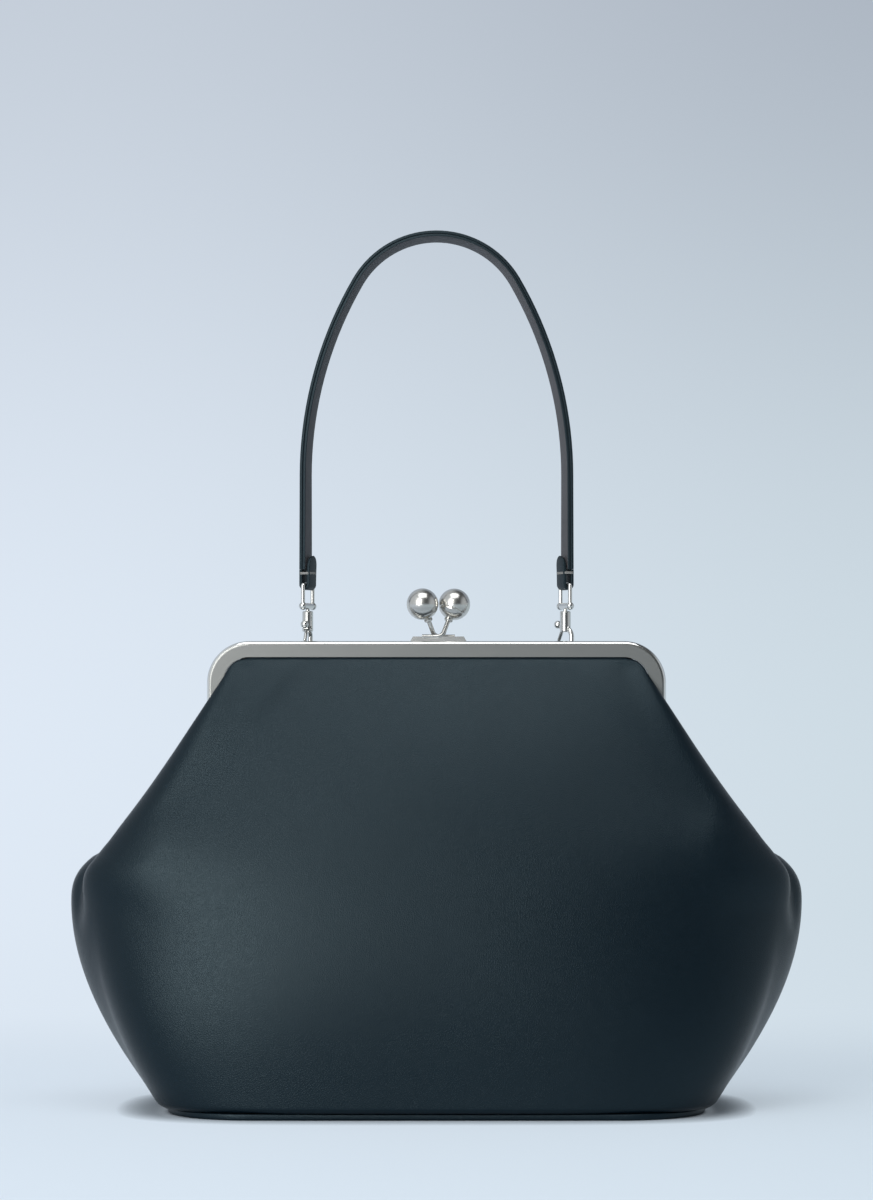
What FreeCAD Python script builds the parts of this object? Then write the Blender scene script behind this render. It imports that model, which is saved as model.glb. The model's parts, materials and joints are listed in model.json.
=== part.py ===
import FreeCAD, Part
import math
import os

# A kiss lock frame purse: a soft leather body on a hinged metal frame with a ball clasp,
# carried by a short strap on two swivel snap hooks. Millimetres. +X is to the right,
# the front faces -Y and +Z is up. The origin is the middle of the base, on the floor.

Vec = FreeCAD.Vector

# Leather body
base_half_length = 141.0
base_half_depth = 69.0
body_half_width = 191.0
body_half_depth = 72.0
widest_height = 107.0
deepest_height = 95.0
ear_rise = 24.0
ear_inset = 12.0
ear_ridge_inset = 4.0
ridge_top_reach = 6.6
ridge_fold_foot = 100.0
ridge_fold_height = 160.0
ridge_fold_width = 26.0
ridge_fold_taper = 16.0
front_crown = 14.0
tuck_inset = 8.0
side_bulge = 7.0
pleat_half_depth_ear = 32.0
pleat_half_depth_hinge = 20.0
pleat_half_depth_leg = 14.0
leather_thickness = 1.4
lining_thickness = 0.7
layer_gap = 0.1
seam_half_gap = 0.1

# Base
base_thickness = 3.2
base_inset = 2.5
base_corner_radius = 44.0
base_edge_round = 1.0
board_thickness = 2.0
board_clearance = 1.5

# Metal frame
frame_half_width = 120.0
frame_top = 243.0
frame_corner_radius = 22.0
frame_face = 8.4
frame_depth = 6.5
frame_wall = 1.2
frame_half_gap = 0.2
frame_edge_round = 2.2
leg_length = 44.0
channel_leather_gap = 0.3
cord_depth = 1.2
cord_width = 4.0
cord_inset = 2.6
cord_foot_rise = 10.0

# Hinge
hinge_drop = 14.0
hinge_ear_radius = 5.0
hinge_layer_gap = 0.2
hinge_pin_radius = 1.5
hinge_running_gap = 0.05
pin_head_radius = 2.6
pin_head_thickness = 0.9

# Neck split: the leather inside this radius of the hinge line moves with the frame
neck_radius = 45.0
neck_gap = 1.2
flap_seam_half_gap = 0.9
wedge_margin = 1.0

# Ball clasp
ball_radius = 8.3
ball_kiss_gap = 0.1
ball_rise = 19.3
ball_cross = 2.5
clasp_x = 1.0
arm_radius = 1.2
arm_foot_reach = 8.6
arm_rise_offset = 2.0
arm_bend_radius = 4.0
arm_y = 3.2
arm_sink = 1.3
collar_radius = 2.3
collar_height = 2.0
plate_length = 29.4
plate_thickness = 2.4
plate_near = 0.7
plate_far = 4.0
plate_slope = 1.4
rivet_radius = 0.7
rivet_head_radius = 1.4
rivet_head_thickness = 0.7
rivet_end_margin = 1.4
rivet_gap = 0.05
rivet_y = 2.9

# Strap loops on the rear half
loop_x = 68.0
loop_y = 15.0
loop_below_top = 6.0
loop_half_width = 8.0
loop_wire_radius = 1.1
loop_bend_radius = 3.0

# Swivel hooks
hook_wire_radius = 1.3
hook_eye_radius = 4.8
hook_seat_gap = 0.15
hook_side_rise = 8.0
hook_tip_rise = 2.0
sleeve_radius = 2.9
sleeve_bottom = 11.0
sleeve_top = 22.0
gate_slot_width = 2.4
gate_hub_radius = 1.9
gate_hub_width = 2.0
gate_slot_clearance = 0.3
gate_pivot_reach = 1.6
gate_pivot_height = 13.4
gate_wire_radius = 0.95
gate_tip_gap = 0.25
gate_pin_radius = 0.7
knob_radius = 2.1
knob_reach = 5.6
knob_height = 14.9
spring_thickness = 0.3
spring_length = 4.0
post_radius = 1.15
post_head_radius = 1.9
post_head_thickness = 1.2
post_running_gap = 0.05
swivel_bar_height = 24.6
swivel_bar_radius = 1.7
swivel_knob_radius = 2.1
bail_half_width = 6.2
bail_top = 36.0
bail_wire_radius = 1.1
bail_corner_radius = 1.35
left_hook_turn = -105.0
right_hook_turn = 132.0

# Strap
strap_width = 9.5
strap_layer = 1.7
strap_layer_gap = 0.1
strap_half_span = 69.1
strap_crown = 457.3
strap_crown_radius = 48.0
strap_crown_angle = 60.0
strap_foot_rise = 8.0
strap_end_twist = 22.0
strap_crown_twist = 15.0
wrap_clearance = 0.15
tab_length = 15.0
tab_spread = 1.2
tab_point = 3.0

ear_height = widest_height + ear_rise
ear_half_width = body_half_width - ear_inset
ear_ridge_half_width = ear_half_width - ear_ridge_inset
tuck_half_width = frame_half_width - tuck_inset
leg_foot = frame_top - leg_length
hinge_height = leg_foot - hinge_drop
ball_height = frame_top + ball_rise
frame_inner_top = frame_top - frame_face
corner_x = frame_half_width - frame_corner_radius
corner_z = frame_top - frame_corner_radius
corner_inner = frame_corner_radius - frame_face
leg_inner = frame_half_width - frame_face
channel_front = frame_half_gap + frame_depth - frame_wall
channel_back = frame_half_gap + frame_wall
slot_y = channel_front - channel_leather_gap
slot_end = frame_top - frame_wall - 2.0


def smooth(a, b, z):
    t = min(1.0, max(0.0, (z - a) / (b - a)))
    return t * t * (3.0 - 2.0 * t)


# The half width of the opening that the leather leaves through, inside the frame.
def mouth_half_width(z):
    if z <= corner_z:
        reach = leg_inner
    elif z >= frame_inner_top:
        reach = corner_x
    else:
        reach = corner_x + math.sqrt(corner_inner ** 2 - (z - corner_z) ** 2)
    return reach - channel_leather_gap - 0.2


# The side seam: it bulges out below the ears and tucks in between the ridges above them.
def seam_half_width(z):
    if z <= widest_height:
        u = 1.0 - z / widest_height
        return body_half_width - (body_half_width - base_half_length) * u ** 1.9
    if z <= ear_height:
        u = (z - widest_height) / (ear_height - widest_height)
        return body_half_width - (body_half_width - ear_half_width) * u ** 2.7
    if z <= hinge_height:
        u = (hinge_height - z) / (hinge_height - ear_height)
        return tuck_half_width + (ear_half_width - tuck_half_width) * u ** 1.6
    u = smooth(hinge_height, leg_foot, z)
    return tuck_half_width + (mouth_half_width(z) - tuck_half_width) * u


# The ridge: the outermost fold of the front leather, from the frame's corner down to the ear.
def ridge_half_width(z):
    if z <= ear_height:
        ear_step = ear_ridge_inset * z / ear_height
        return seam_half_width(z) - ear_step - side_bulge * math.sin(math.pi * z / ear_height)
    top = corner_x + ridge_top_reach
    u = max(0.0, (frame_inner_top - z) / (frame_inner_top - ear_height))
    return top + (ear_ridge_half_width - top) * (0.94 * u + 0.06 * u ** 12)


def front_depth(z):
    if z <= deepest_height:
        u = 1.0 - z / deepest_height
        return body_half_depth - (body_half_depth - base_half_depth) * u ** 2
    u = min(1.0, (z - deepest_height) / (frame_inner_top - deepest_height))
    return slot_y + 0.3 + (body_half_depth - slot_y - 0.3) * (1.0 - u ** 1.6)


def pleat_half_depth(z):
    low = pleat_half_depth_ear
    mid = pleat_half_depth_hinge
    top = pleat_half_depth_leg
    return low + (mid - low) * smooth(ear_height, hinge_height, z) + (top - mid) * smooth(
        hinge_height, leg_foot + 5.0, z
    )


# How finely a level is worked out, and where along its half the curve's points are taken.
line_steps = 120
marks = [0.0, 0.03, 0.06, 0.09, 0.12, 0.15, 0.19, 0.23, 0.29, 0.37, 0.5, 0.65, 0.82, 1.0]


# Where the front leather starts at the side seam: close to the rear piece, and apart in the frame.
def seam_start(z):
    return seam_half_gap + (slot_y - seam_half_gap) * smooth(hinge_height, leg_foot, z)


# Half of one level of the front leather, from the left seam to the middle of the front: a side wall
# that tucks in at the seam, a rounded corner, then the crowned front. Above the ears the corner is
# a narrow fold that runs up to the frame, and below them it spreads over the whole side.
def half_level(z):
    start = seam_start(z)
    seam = seam_half_width(z)
    ridge = ridge_half_width(z)
    depth = front_depth(z) - start
    tight = smooth(ridge_fold_foot, ridge_fold_height, z)
    crown = front_crown * smooth(deepest_height, ridge_fold_height, z) * (1.0 - smooth(leg_foot, slot_end, z))
    crown = min(crown, 0.35 * depth)
    wide = ridge * (1.0 - tight) + ridge_fold_width * tight
    wide = wide - ridge_fold_taper * smooth(ridge_fold_height, corner_z, z)
    deep = (0.98 - 0.62 * tight) * (depth - crown)
    side_run = depth - crown - deep
    room = max(4.0, side_run) + pleat_half_depth(z) * (1.0 - tight)
    pleat = min(pleat_half_depth(z), room)
    power = 2.0 / (4.4 - 1.7 * smooth(0.0, 0.6 * widest_height, z) - 0.4 * tight)
    fold = 2.0 + 2.0 * smooth(ear_height, hinge_height, z)
    half = []
    for i in range(3 * line_steps + 1):
        along = i / line_steps
        turn = 0.5 * math.pi * min(1.0, max(0.0, along - 1.0))
        x = ridge - wide * (1.0 - max(0.0, math.cos(turn)) ** power)
        if along > 2.0:
            x = (ridge - wide) * (3.0 - along)
        y = side_run * min(1.0, along) + deep * math.sin(turn) ** power
        y = y + crown * (1.0 - (x / ridge) ** 2)
        side = min(1.0, y / pleat)
        x = x - (ridge - seam) * (1.0 - side ** fold) ** 2
        half.append(Vec(-max(0.0, x), -start - y, z))
    return half


# One level of the front leather, from the left seam to the right seam, moved in by a depth.
def level_points(z, depth):
    if z >= frame_inner_top - 0.5:
        reach = corner_x - 1.0
        line = [Vec(-reach * (1.0 - mark), depth - slot_y, z) for mark in marks]
        return line + [Vec(-p.x, p.y, p.z) for p in reversed(line[:-1])]
    half = half_level(z)
    last = len(half) - 1
    flat = smooth(corner_z + 3.0, frame_inner_top - 0.5, z)
    run = [0.0]
    for i in range(last):
        run.append(run[i] + half[i].distanceToPoint(half[i + 1]))
    moved = []
    for mark in marks:
        k = min(last - 1, sum(1 for r in run[1:] if r < mark * run[-1]))
        part = (mark * run[-1] - run[k]) / (run[k + 1] - run[k])
        spot = half[k] + (half[k + 1] - half[k]) * part
        along = half[min(last, k + 2)] - half[max(0, k - 1)]
        along.normalize()
        inward = Vec(-along.y, along.x, 0.0)
        if mark == 0.0:
            inward = Vec(1.0, 0.0, 0.0)
        if mark == 1.0:
            inward = Vec(0.0, 1.0, 0.0)
        inward = inward * (1.0 - flat) + Vec(0.0, 1.0, 0.0) * flat
        moved.append(spot + inward * depth)
    return moved + [Vec(-p.x, p.y, p.z) for p in reversed(moved[:-1])]


def level_wire(z, outside, inside):
    knots = marks + [2.0 - m for m in reversed(marks[:-1])]
    edges = []
    ends = []
    for depth in (outside, inside):
        points = level_points(z, depth)
        curve = Part.BSplineCurve()
        curve.interpolate(Points=points, Parameters=knots)
        edges.append(curve.toShape())
        ends.append((points[0], points[-1]))
    left = Part.makeLine(ends[0][0], ends[1][0])
    right = Part.makeLine(ends[0][1], ends[1][1])
    return Part.Wire(Part.__sortEdges__([edges[0], right, edges[1], left]))


def steps(a, b, count):
    return [a + (b - a) * i / count for i in range(count)]


levels = steps(base_thickness + 0.2, widest_height, 8) + steps(widest_height, ear_height, 3)
levels = levels + steps(ear_height, hinge_height, 5) + steps(hinge_height, leg_foot, 2)
levels = levels + steps(leg_foot, frame_inner_top, 5) + steps(frame_inner_top, slot_end, 2) + [slot_end]


def front_skin(outside, inside):
    return Part.makeLoft([level_wire(z, outside, inside) for z in levels], True, False)


def along_x(radius, x0, x1, y, z):
    return Part.makeCylinder(radius, x1 - x0, Vec(x0, y, z), Vec(1, 0, 0))


def box(x0, x1, y0, y1, z0, z1):
    return Part.makeBox(x1 - x0, y1 - y0, z1 - z0, Vec(x0, y0, z0))


def to_rear(shape):
    return shape.mirror(Vec(0, 0, 0), Vec(0, 1, 0))


def to_right(shape):
    return shape.mirror(Vec(0, 0, 0), Vec(1, 0, 0))


def export(shape, name):
    if len(shape.Solids) == 1:
        shape = shape.Solids[0]
    shape.exportStep("parts/" + name + ".step")
    print(name, len(shape.Solids), shape.isValid(), round(shape.Volume, 1))


# A round wire through corner points, with a bend radius at each inner corner.
def bent_path(points, radius):
    edges = []
    start = points[0]
    for i in range(1, len(points) - 1):
        a = (points[i - 1] - points[i]).normalize()
        b = (points[i + 1] - points[i]).normalize()
        half = 0.5 * a.getAngle(b)
        cut = radius / math.tan(half)
        p = points[i] + a * cut
        q = points[i] + b * cut
        middle = (a + b).normalize()
        centre = points[i] + middle * (radius / math.sin(half))
        edges.append(Part.makeLine(start, p))
        edges.append(Part.Arc(p, centre - middle * radius, q).toShape())
        start = q
    edges.append(Part.makeLine(start, points[-1]))
    return Part.Wire(edges)


def tube(path, radius):
    first = path.Edges[0]
    at = first.valueAt(first.FirstParameter)
    ring = Part.Wire(Part.makeCircle(radius, at, first.tangentAt(first.FirstParameter)))
    return path.makePipeShell([ring], True, True, 2)


os.makedirs("parts", exist_ok=True)

# Leather and lining: one skin from seam to seam, split on the neck line round the hinges.
span = 2.0 * body_half_width
neck_out = along_x(neck_radius + 0.5 * neck_gap, -span, span, 0.0, hinge_height)
neck_in = along_x(neck_radius - 0.5 * neck_gap, -span, span, 0.0, hinge_height)
below = box(-span, span, -span, span, -1.0, hinge_height)
around = below.cut(neck_in)


def behind_fold(margin):
    wedge = Part.makePolygon(
        [
            Vec(-span, -margin, hinge_height),
            Vec(-span, -margin - span, hinge_height - span),
            Vec(-span, span, hinge_height - span),
            Vec(-span, span, hinge_height),
            Vec(-span, -margin, hinge_height),
        ]
    )
    return Part.Face(wedge).extrude(Vec(2.0 * span, 0, 0))


def below_neck(skin):
    return Part.makeCompound([s for s in skin.cut(neck_out).Solids if s.CenterOfMass.z < hinge_height])


lining_start = leather_thickness + layer_gap
leather = front_skin(0.0, leather_thickness)
lining = front_skin(lining_start, lining_start + lining_thickness)
front_panel = below_neck(leather)
front_lining = below_neck(lining)
flap_seam = box(-span, span, -flap_seam_half_gap, flap_seam_half_gap, -1.0, span)
fold_cut = behind_fold(wedge_margin + neck_gap)
front_flap = leather.cut(around).cut(fold_cut).cut(flap_seam)
front_flap_lining = lining.cut(around).cut(fold_cut).cut(flap_seam)
neck_seat = along_x(neck_radius + 0.5 * neck_gap - layer_gap, -span, span, 0.0, hinge_height)
front_pleat = leather.common(neck_seat).common(behind_fold(wedge_margin))
left_pleat = front_pleat.common(box(-span, 0.0, -span, span, -1.0, span))

export(front_panel, "front_panel")
export(to_rear(front_panel), "rear_panel")
export(front_lining, "front_lining")
export(to_rear(front_lining), "rear_lining")
export(front_flap, "front_flap")
export(to_rear(front_flap), "rear_flap")
export(front_flap_lining, "front_flap_lining")
export(to_rear(front_flap_lining), "rear_flap_lining")
both_pleats = Part.makeCompound(left_pleat.Solids + to_rear(left_pleat).Solids)
export(both_pleats, "left_pleat")
export(to_right(both_pleats), "right_pleat")


# Base: a leather slab under the seam, with a board and a lining inside the body.
def rounded_slab(half_x, half_y, radius, z0, z1):
    slab = box(-half_x, half_x, -half_y, half_y, z0, z1)
    return slab.makeFillet(radius, [e for e in slab.Edges if abs(e.tangentAt(e.FirstParameter).z) > 0.9])


base_half_x = base_half_length - base_inset
base_half_y = base_half_depth - 0.5 * base_inset
base_panel = rounded_slab(base_half_x, base_half_y, base_corner_radius, 0.0, base_thickness)
low_edges = [e for e in base_panel.Edges if e.BoundBox.ZMax < 0.01]
base_panel = base_panel.makeFillet(base_edge_round, low_edges)
board_inset = base_inset + leather_thickness + lining_thickness + board_clearance
board_half_x = base_half_length - board_inset
board_half_y = base_half_depth - board_inset
board_radius = base_corner_radius - 0.5 * board_inset
board_floor = base_thickness + 0.1
board_roof = board_floor + board_thickness
base_board = rounded_slab(board_half_x, board_half_y, board_radius, board_floor, board_roof)
lining_floor = board_roof + layer_gap
base_lining = rounded_slab(
    board_half_x, board_half_y, board_radius, lining_floor, lining_floor + lining_thickness
)
export(base_panel, "base_panel")
export(base_board, "base_board")
export(base_lining, "base_lining")


# Frame halves: a folded channel on an arch, hinged at the feet of its legs.
def arch(inset, foot, y0, y1):
    w = frame_half_width - inset
    r = frame_corner_radius - inset
    t = frame_top - inset
    c = r * math.sqrt(0.5)
    low_right = Vec(w, y0, corner_z)
    mid_right = Vec(corner_x + c, y0, corner_z + c)
    top_right = Vec(corner_x, y0, t)
    low_left = Vec(-w, y0, corner_z)
    mid_left = Vec(-corner_x - c, y0, corner_z + c)
    top_left = Vec(-corner_x, y0, t)
    outline = [
        Part.makeLine(Vec(-w, y0, foot), low_left),
        Part.Arc(low_left, mid_left, top_left).toShape(),
        Part.makeLine(top_left, top_right),
        Part.Arc(top_right, mid_right, low_right).toShape(),
        Part.makeLine(low_right, Vec(w, y0, foot)),
        Part.makeLine(Vec(w, y0, foot), Vec(-w, y0, foot)),
    ]
    return Part.Face(Part.Wire(outline)).extrude(Vec(0, y1 - y0, 0))


face_y = frame_half_gap + frame_depth
band = arch(0.0, leg_foot, -face_y, -frame_half_gap)
outer_edges = []
for edge in band.Edges:
    spot = edge.valueAt(0.5 * (edge.FirstParameter + edge.LastParameter))
    if abs(spot.y + face_y) < 0.01 and spot.z > leg_foot + 0.1:
        outer_edges.append(edge)
band = band.makeFillet(frame_edge_round, outer_edges)
band = band.cut(arch(frame_face, leg_foot - 1.0, -face_y - 1.0, 0.0))
channel = band.cut(arch(frame_wall, leg_foot - 1.0, -channel_front, -channel_back))

ear_outer = frame_half_width
ear_inner = frame_half_width - frame_wall
front_ear = along_x(hinge_ear_radius, -ear_outer, -ear_inner, 0.0, hinge_height)
front_tab = box(
    -ear_outer, -ear_inner, -hinge_ear_radius, -frame_half_gap, hinge_height, leg_foot + 0.5
)
rear_ear_outer = ear_inner - hinge_layer_gap
rear_ear_inner = rear_ear_outer - frame_wall
rear_ear = along_x(hinge_ear_radius, -rear_ear_outer, -rear_ear_inner, 0.0, hinge_height)
rear_tab = box(
    -rear_ear_outer, -rear_ear_inner, frame_half_gap, hinge_ear_radius, hinge_height, leg_foot + 0.5
)
rear_step = box(
    -ear_inner, -rear_ear_inner, channel_back + 0.2, hinge_ear_radius, leg_foot + 0.2, leg_foot + 7.0
)
pin_hole = along_x(hinge_pin_radius + hinge_running_gap, -span, span, 0.0, hinge_height)
front_ears = front_ear.fuse(front_tab)
rear_ears = rear_ear.fuse(rear_tab).fuse(rear_step)
front_frame = channel.fuse([front_ears, to_right(front_ears)]).cut(pin_hole).removeSplitter()
rear_frame = to_rear(channel).fuse([rear_ears, to_right(rear_ears)]).cut(pin_hole).removeSplitter()

pin_face = frame_half_width + hinge_layer_gap * 0.5
pin_back = rear_ear_inner - hinge_layer_gap * 0.5
left_pin = along_x(hinge_pin_radius, -pin_face, -pin_back, 0.0, hinge_height)
head = along_x(pin_head_radius, -pin_face - pin_head_thickness, -pin_face, 0.0, hinge_height)
tail = along_x(pin_head_radius, -pin_back, -pin_back + pin_head_thickness, 0.0, hinge_height)
left_pin = left_pin.fuse([head, tail]).removeSplitter()
export(left_pin, "left_hinge_pin")
export(to_right(left_pin), "right_hinge_pin")

cord_back = -channel_back - 0.1
cord_foot = leg_foot + cord_foot_rise
cord = arch(cord_inset, cord_foot, cord_back - cord_depth, cord_back)
cord = cord.cut(arch(cord_inset + cord_width, cord_foot - 1.0, -face_y, 0.0))
export(cord, "front_cord")
export(to_rear(cord), "rear_cord")

# Ball clasp: each arm lies on a plate, rises across the middle and ends in a ball.
ball_half_gap = ball_radius + 0.5 * ball_kiss_gap
plate_floor = frame_top
plate_top = plate_floor + plate_thickness
plate_low_half = 0.5 * plate_length
plate_high_half = plate_low_half - plate_slope
plate_outline = Part.makePolygon(
    [
        Vec(-plate_low_half, 0, plate_floor),
        Vec(plate_low_half, 0, plate_floor),
        Vec(plate_high_half, 0, plate_top),
        Vec(-plate_high_half, 0, plate_top),
        Vec(-plate_low_half, 0, plate_floor),
    ]
)
plate = Part.Face(plate_outline).extrude(Vec(0, plate_far - plate_near, 0))
arm_z = plate_top + arm_radius - arm_sink
rise_x = arm_rise_offset
ball_centre = Vec(ball_half_gap, ball_cross, ball_height)
arm_line = bent_path(
    [Vec(-arm_foot_reach, -arm_y, arm_z), Vec(rise_x, -arm_y, arm_z), ball_centre], arm_bend_radius
)
arm = tube(arm_line, arm_radius)
stem = (ball_centre - Vec(rise_x, -arm_y, arm_z)).normalize()
ball = Part.makeSphere(ball_radius, ball_centre).cut(arm)
collar_foot = ball_centre - stem * (ball_radius + collar_height - 0.4)
collar = Part.makeCylinder(collar_radius, collar_height, collar_foot, stem)
collar = collar.cut(Part.makeSphere(ball_radius, ball_centre)).cut(arm)
rivet_x = plate_high_half - rivet_end_margin
rivets = []
rivet_holes = []
for side in (-1.0, 1.0):
    shank_floor = frame_top - frame_wall
    at = Vec(side * rivet_x, -rivet_y, shank_floor)
    shank = Part.makeCylinder(rivet_radius, plate_top - shank_floor, at)
    foot = Part.makeCylinder(
        rivet_head_radius, rivet_head_thickness, at - Vec(0, 0, rivet_head_thickness)
    )
    rivets.append(shank.fuse(foot).removeSplitter())
    rivet_holes.append(Part.makeCylinder(rivet_radius + rivet_gap, 10.0, at - Vec(0, 0, 3.0)))


def clasp_half(shape, rear):
    if rear:
        shape = shape.copy()
        shape.rotate(Vec(0, 0, 0), Vec(0, 0, 1), 180.0)
    moved = shape.copy()
    moved.translate(Vec(clasp_x, 0, 0))
    return moved


front_plate = plate.copy()
front_plate.translate(Vec(0, -plate_far, 0))
front_plate = front_plate.cut(arm).cut(Part.makeCompound(rivet_holes))
for rear, name in ((False, "front"), (True, "rear")):
    export(clasp_half(arm, rear), name + "_clasp_arm")
    export(clasp_half(ball, rear), name + "_clasp_ball")
    export(clasp_half(collar, rear), name + "_clasp_collar")
    export(clasp_half(front_plate, rear), name + "_clasp_plate")
    export(clasp_half(Part.makeCompound(rivets), rear), name + "_clasp_rivets")
front_frame = front_frame.cut(clasp_half(Part.makeCompound(rivet_holes), False))
rear_frame = rear_frame.cut(clasp_half(Part.makeCompound(rivet_holes), True))

# Strap loops: bent wire staples through the rear wall of the rear half.
loop_z = frame_top - loop_below_top
loop_line = bent_path(
    [
        Vec(-loop_x - loop_half_width, channel_front, loop_z),
        Vec(-loop_x - loop_half_width, loop_y, loop_z),
        Vec(-loop_x + loop_half_width, loop_y, loop_z),
        Vec(-loop_x + loop_half_width, channel_front, loop_z),
    ],
    loop_bend_radius,
)
left_loop = tube(loop_line, loop_wire_radius)
right_loop = to_right(left_loop)
rear_frame = rear_frame.cut(left_loop).cut(right_loop)
export(front_frame, "front_frame")
export(rear_frame, "rear_frame")
export(left_loop, "left_strap_loop")
export(right_loop, "right_strap_loop")

# Swivel hooks, drawn with the gate to +X and the loop wire at the origin.
seat_z = -(loop_wire_radius + hook_seat_gap + hook_wire_radius)
eye_z = seat_z + hook_eye_radius
hook_line = Part.Wire(
    [
        Part.makeLine(Vec(hook_eye_radius, 0, eye_z + hook_tip_rise), Vec(hook_eye_radius, 0, eye_z)),
        Part.Arc(
            Vec(hook_eye_radius, 0, eye_z), Vec(0, 0, seat_z), Vec(-hook_eye_radius, 0, eye_z)
        ).toShape(),
        Part.makeLine(Vec(-hook_eye_radius, 0, eye_z), Vec(-hook_eye_radius, 0, hook_side_rise)),
    ]
)
hook_bend = Part.BSplineCurve()
bend_points = [Vec(-hook_eye_radius, 0, hook_side_rise), Vec(-1.0, 0, sleeve_bottom + 3.5)]
hook_bend.interpolate(Points=bend_points, InitialTangent=Vec(0, 0, 6), FinalTangent=Vec(3, 0, 6))
hook_line = Part.Wire(hook_line.Edges + [hook_bend.toShape()])
hook_wire = tube(hook_line, hook_wire_radius)
hook_tip = Part.makeSphere(hook_wire_radius, Vec(hook_eye_radius, 0, eye_z + hook_tip_rise))
sleeve = Part.makeCylinder(sleeve_radius, sleeve_top - sleeve_bottom, Vec(0, 0, sleeve_bottom))
sleeve_edges = [e for e in sleeve.Edges if e.Closed]
sleeve = sleeve.makeFillet(0.8, sleeve_edges)
hook = hook_wire.fuse([hook_tip, sleeve])
slot_half = 0.5 * gate_slot_width
slot_back = gate_pivot_reach - gate_hub_radius - gate_slot_clearance - spring_thickness
slot_top = gate_pivot_height + gate_hub_radius + gate_slot_clearance
hook = hook.cut(box(slot_back, 8.0, -slot_half, slot_half, sleeve_bottom - 2.0, slot_top))
head_floor = slot_top
hook = hook.cut(
    Part.makeCylinder(
        post_head_radius + post_running_gap, post_head_thickness + 0.2, Vec(0, 0, head_floor)
    )
)
hook = hook.cut(Part.makeCylinder(post_radius + post_running_gap, 12.0, Vec(0, 0, head_floor)))
pin_at = Vec(gate_pivot_reach, -sleeve_radius, gate_pivot_height)
hook = hook.cut(Part.makeCylinder(gate_pin_radius, 2.0 * sleeve_radius, pin_at, Vec(0, 1, 0)))
hook = hook.removeSplitter()
gate_pin_half = math.sqrt(sleeve_radius ** 2 - (gate_pivot_reach + gate_pin_radius) ** 2)
pin_start = Vec(gate_pivot_reach, -gate_pin_half, gate_pivot_height)
gate_pin = Part.makeCylinder(gate_pin_radius, 2.0 * gate_pin_half, pin_start, Vec(0, 1, 0))

gate_tip_z = eye_z + hook_tip_rise + hook_wire_radius + gate_wire_radius + gate_tip_gap
lever_start = Vec(gate_pivot_reach, 0, gate_pivot_height)
lever_end = Vec(hook_eye_radius, 0, gate_tip_z)
lever_run = lever_end - lever_start
lever = Part.makeCylinder(gate_wire_radius, lever_run.Length, lever_start, lever_run)
lever_tip = Part.makeSphere(gate_wire_radius, lever_end)
knob_at = Vec(knob_reach, 0, knob_height)
knob_stem = Part.makeCylinder(
    gate_wire_radius, (knob_at - lever_start).Length, lever_start, knob_at - lever_start
)
knob = Part.makeSphere(knob_radius, knob_at)
hub = Part.makeCylinder(
    gate_hub_radius, gate_hub_width, lever_start - Vec(0, 0.5 * gate_hub_width, 0), Vec(0, 1, 0)
)
gate = hub.fuse([lever, lever_tip, knob_stem, knob])
gate = gate.cut(Part.makeCylinder(gate_pin_radius + 0.05, 20.0, lever_start - Vec(0, 10.0, 0), Vec(0, 1, 0)))
spring = box(
    slot_back + 0.02,
    slot_back + spring_thickness,
    -0.4 * gate_slot_width,
    0.4 * gate_slot_width,
    slot_top - 0.05 - spring_length,
    slot_top - 0.05,
)

# Bails: a wire frame for the strap on a swivel bar, whose post turns in the sleeve.
bail_line = bent_path(
    [
        Vec(0, -bail_half_width, swivel_bar_height),
        Vec(0, -bail_half_width, bail_top),
        Vec(0, bail_half_width, bail_top),
        Vec(0, bail_half_width, swivel_bar_height),
    ],
    bail_corner_radius,
)
bail = tube(bail_line, bail_wire_radius)
swivel_bar = Part.makeCylinder(
    swivel_bar_radius, 2.0 * bail_half_width, Vec(0, -bail_half_width, swivel_bar_height), Vec(0, 1, 0)
)
swivel_ends = [
    Part.makeSphere(swivel_knob_radius, Vec(0, side * bail_half_width, swivel_bar_height))
    for side in (-1.0, 1.0)
]
post = Part.makeCylinder(post_radius, swivel_bar_height - head_floor - 0.1, Vec(0, 0, head_floor + 0.1))
post_head = Part.makeCylinder(post_head_radius, post_head_thickness, Vec(0, 0, head_floor + 0.1))
bail = bail.fuse([swivel_bar, post, post_head] + swivel_ends)


def hang(shape, side, turn):
    moved = shape.copy()
    moved.rotate(Vec(0, 0, 0), Vec(0, 0, 1), turn)
    moved.translate(Vec(side * loop_x, loop_y, loop_z))
    return moved


for side, name, turn in ((-1.0, "left", left_hook_turn), (1.0, "right", right_hook_turn)):
    export(hang(hook, side, turn), name + "_hook")
    export(hang(gate, side, turn), name + "_gate")
    export(hang(gate_pin, side, turn), name + "_gate_pin")
    export(hang(spring, side, turn), name + "_gate_spring")
    export(hang(bail, side, side * strap_end_twist), name + "_bail")

wire_z = loop_z + bail_top
strap_foot = wire_z + strap_foot_rise
tab_tip = wire_z + tab_length

# Strap: two leather layers on an arch of a crown bend and two slack side bends.
crown = math.radians(strap_crown_angle)
side_radius = (strap_half_span - strap_crown_radius * math.sin(crown)) / (1.0 - math.sin(crown))
crown_low = strap_crown - strap_crown_radius * (1.0 - math.cos(crown))
straight_top = crown_low - side_radius * math.cos(crown)


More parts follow.
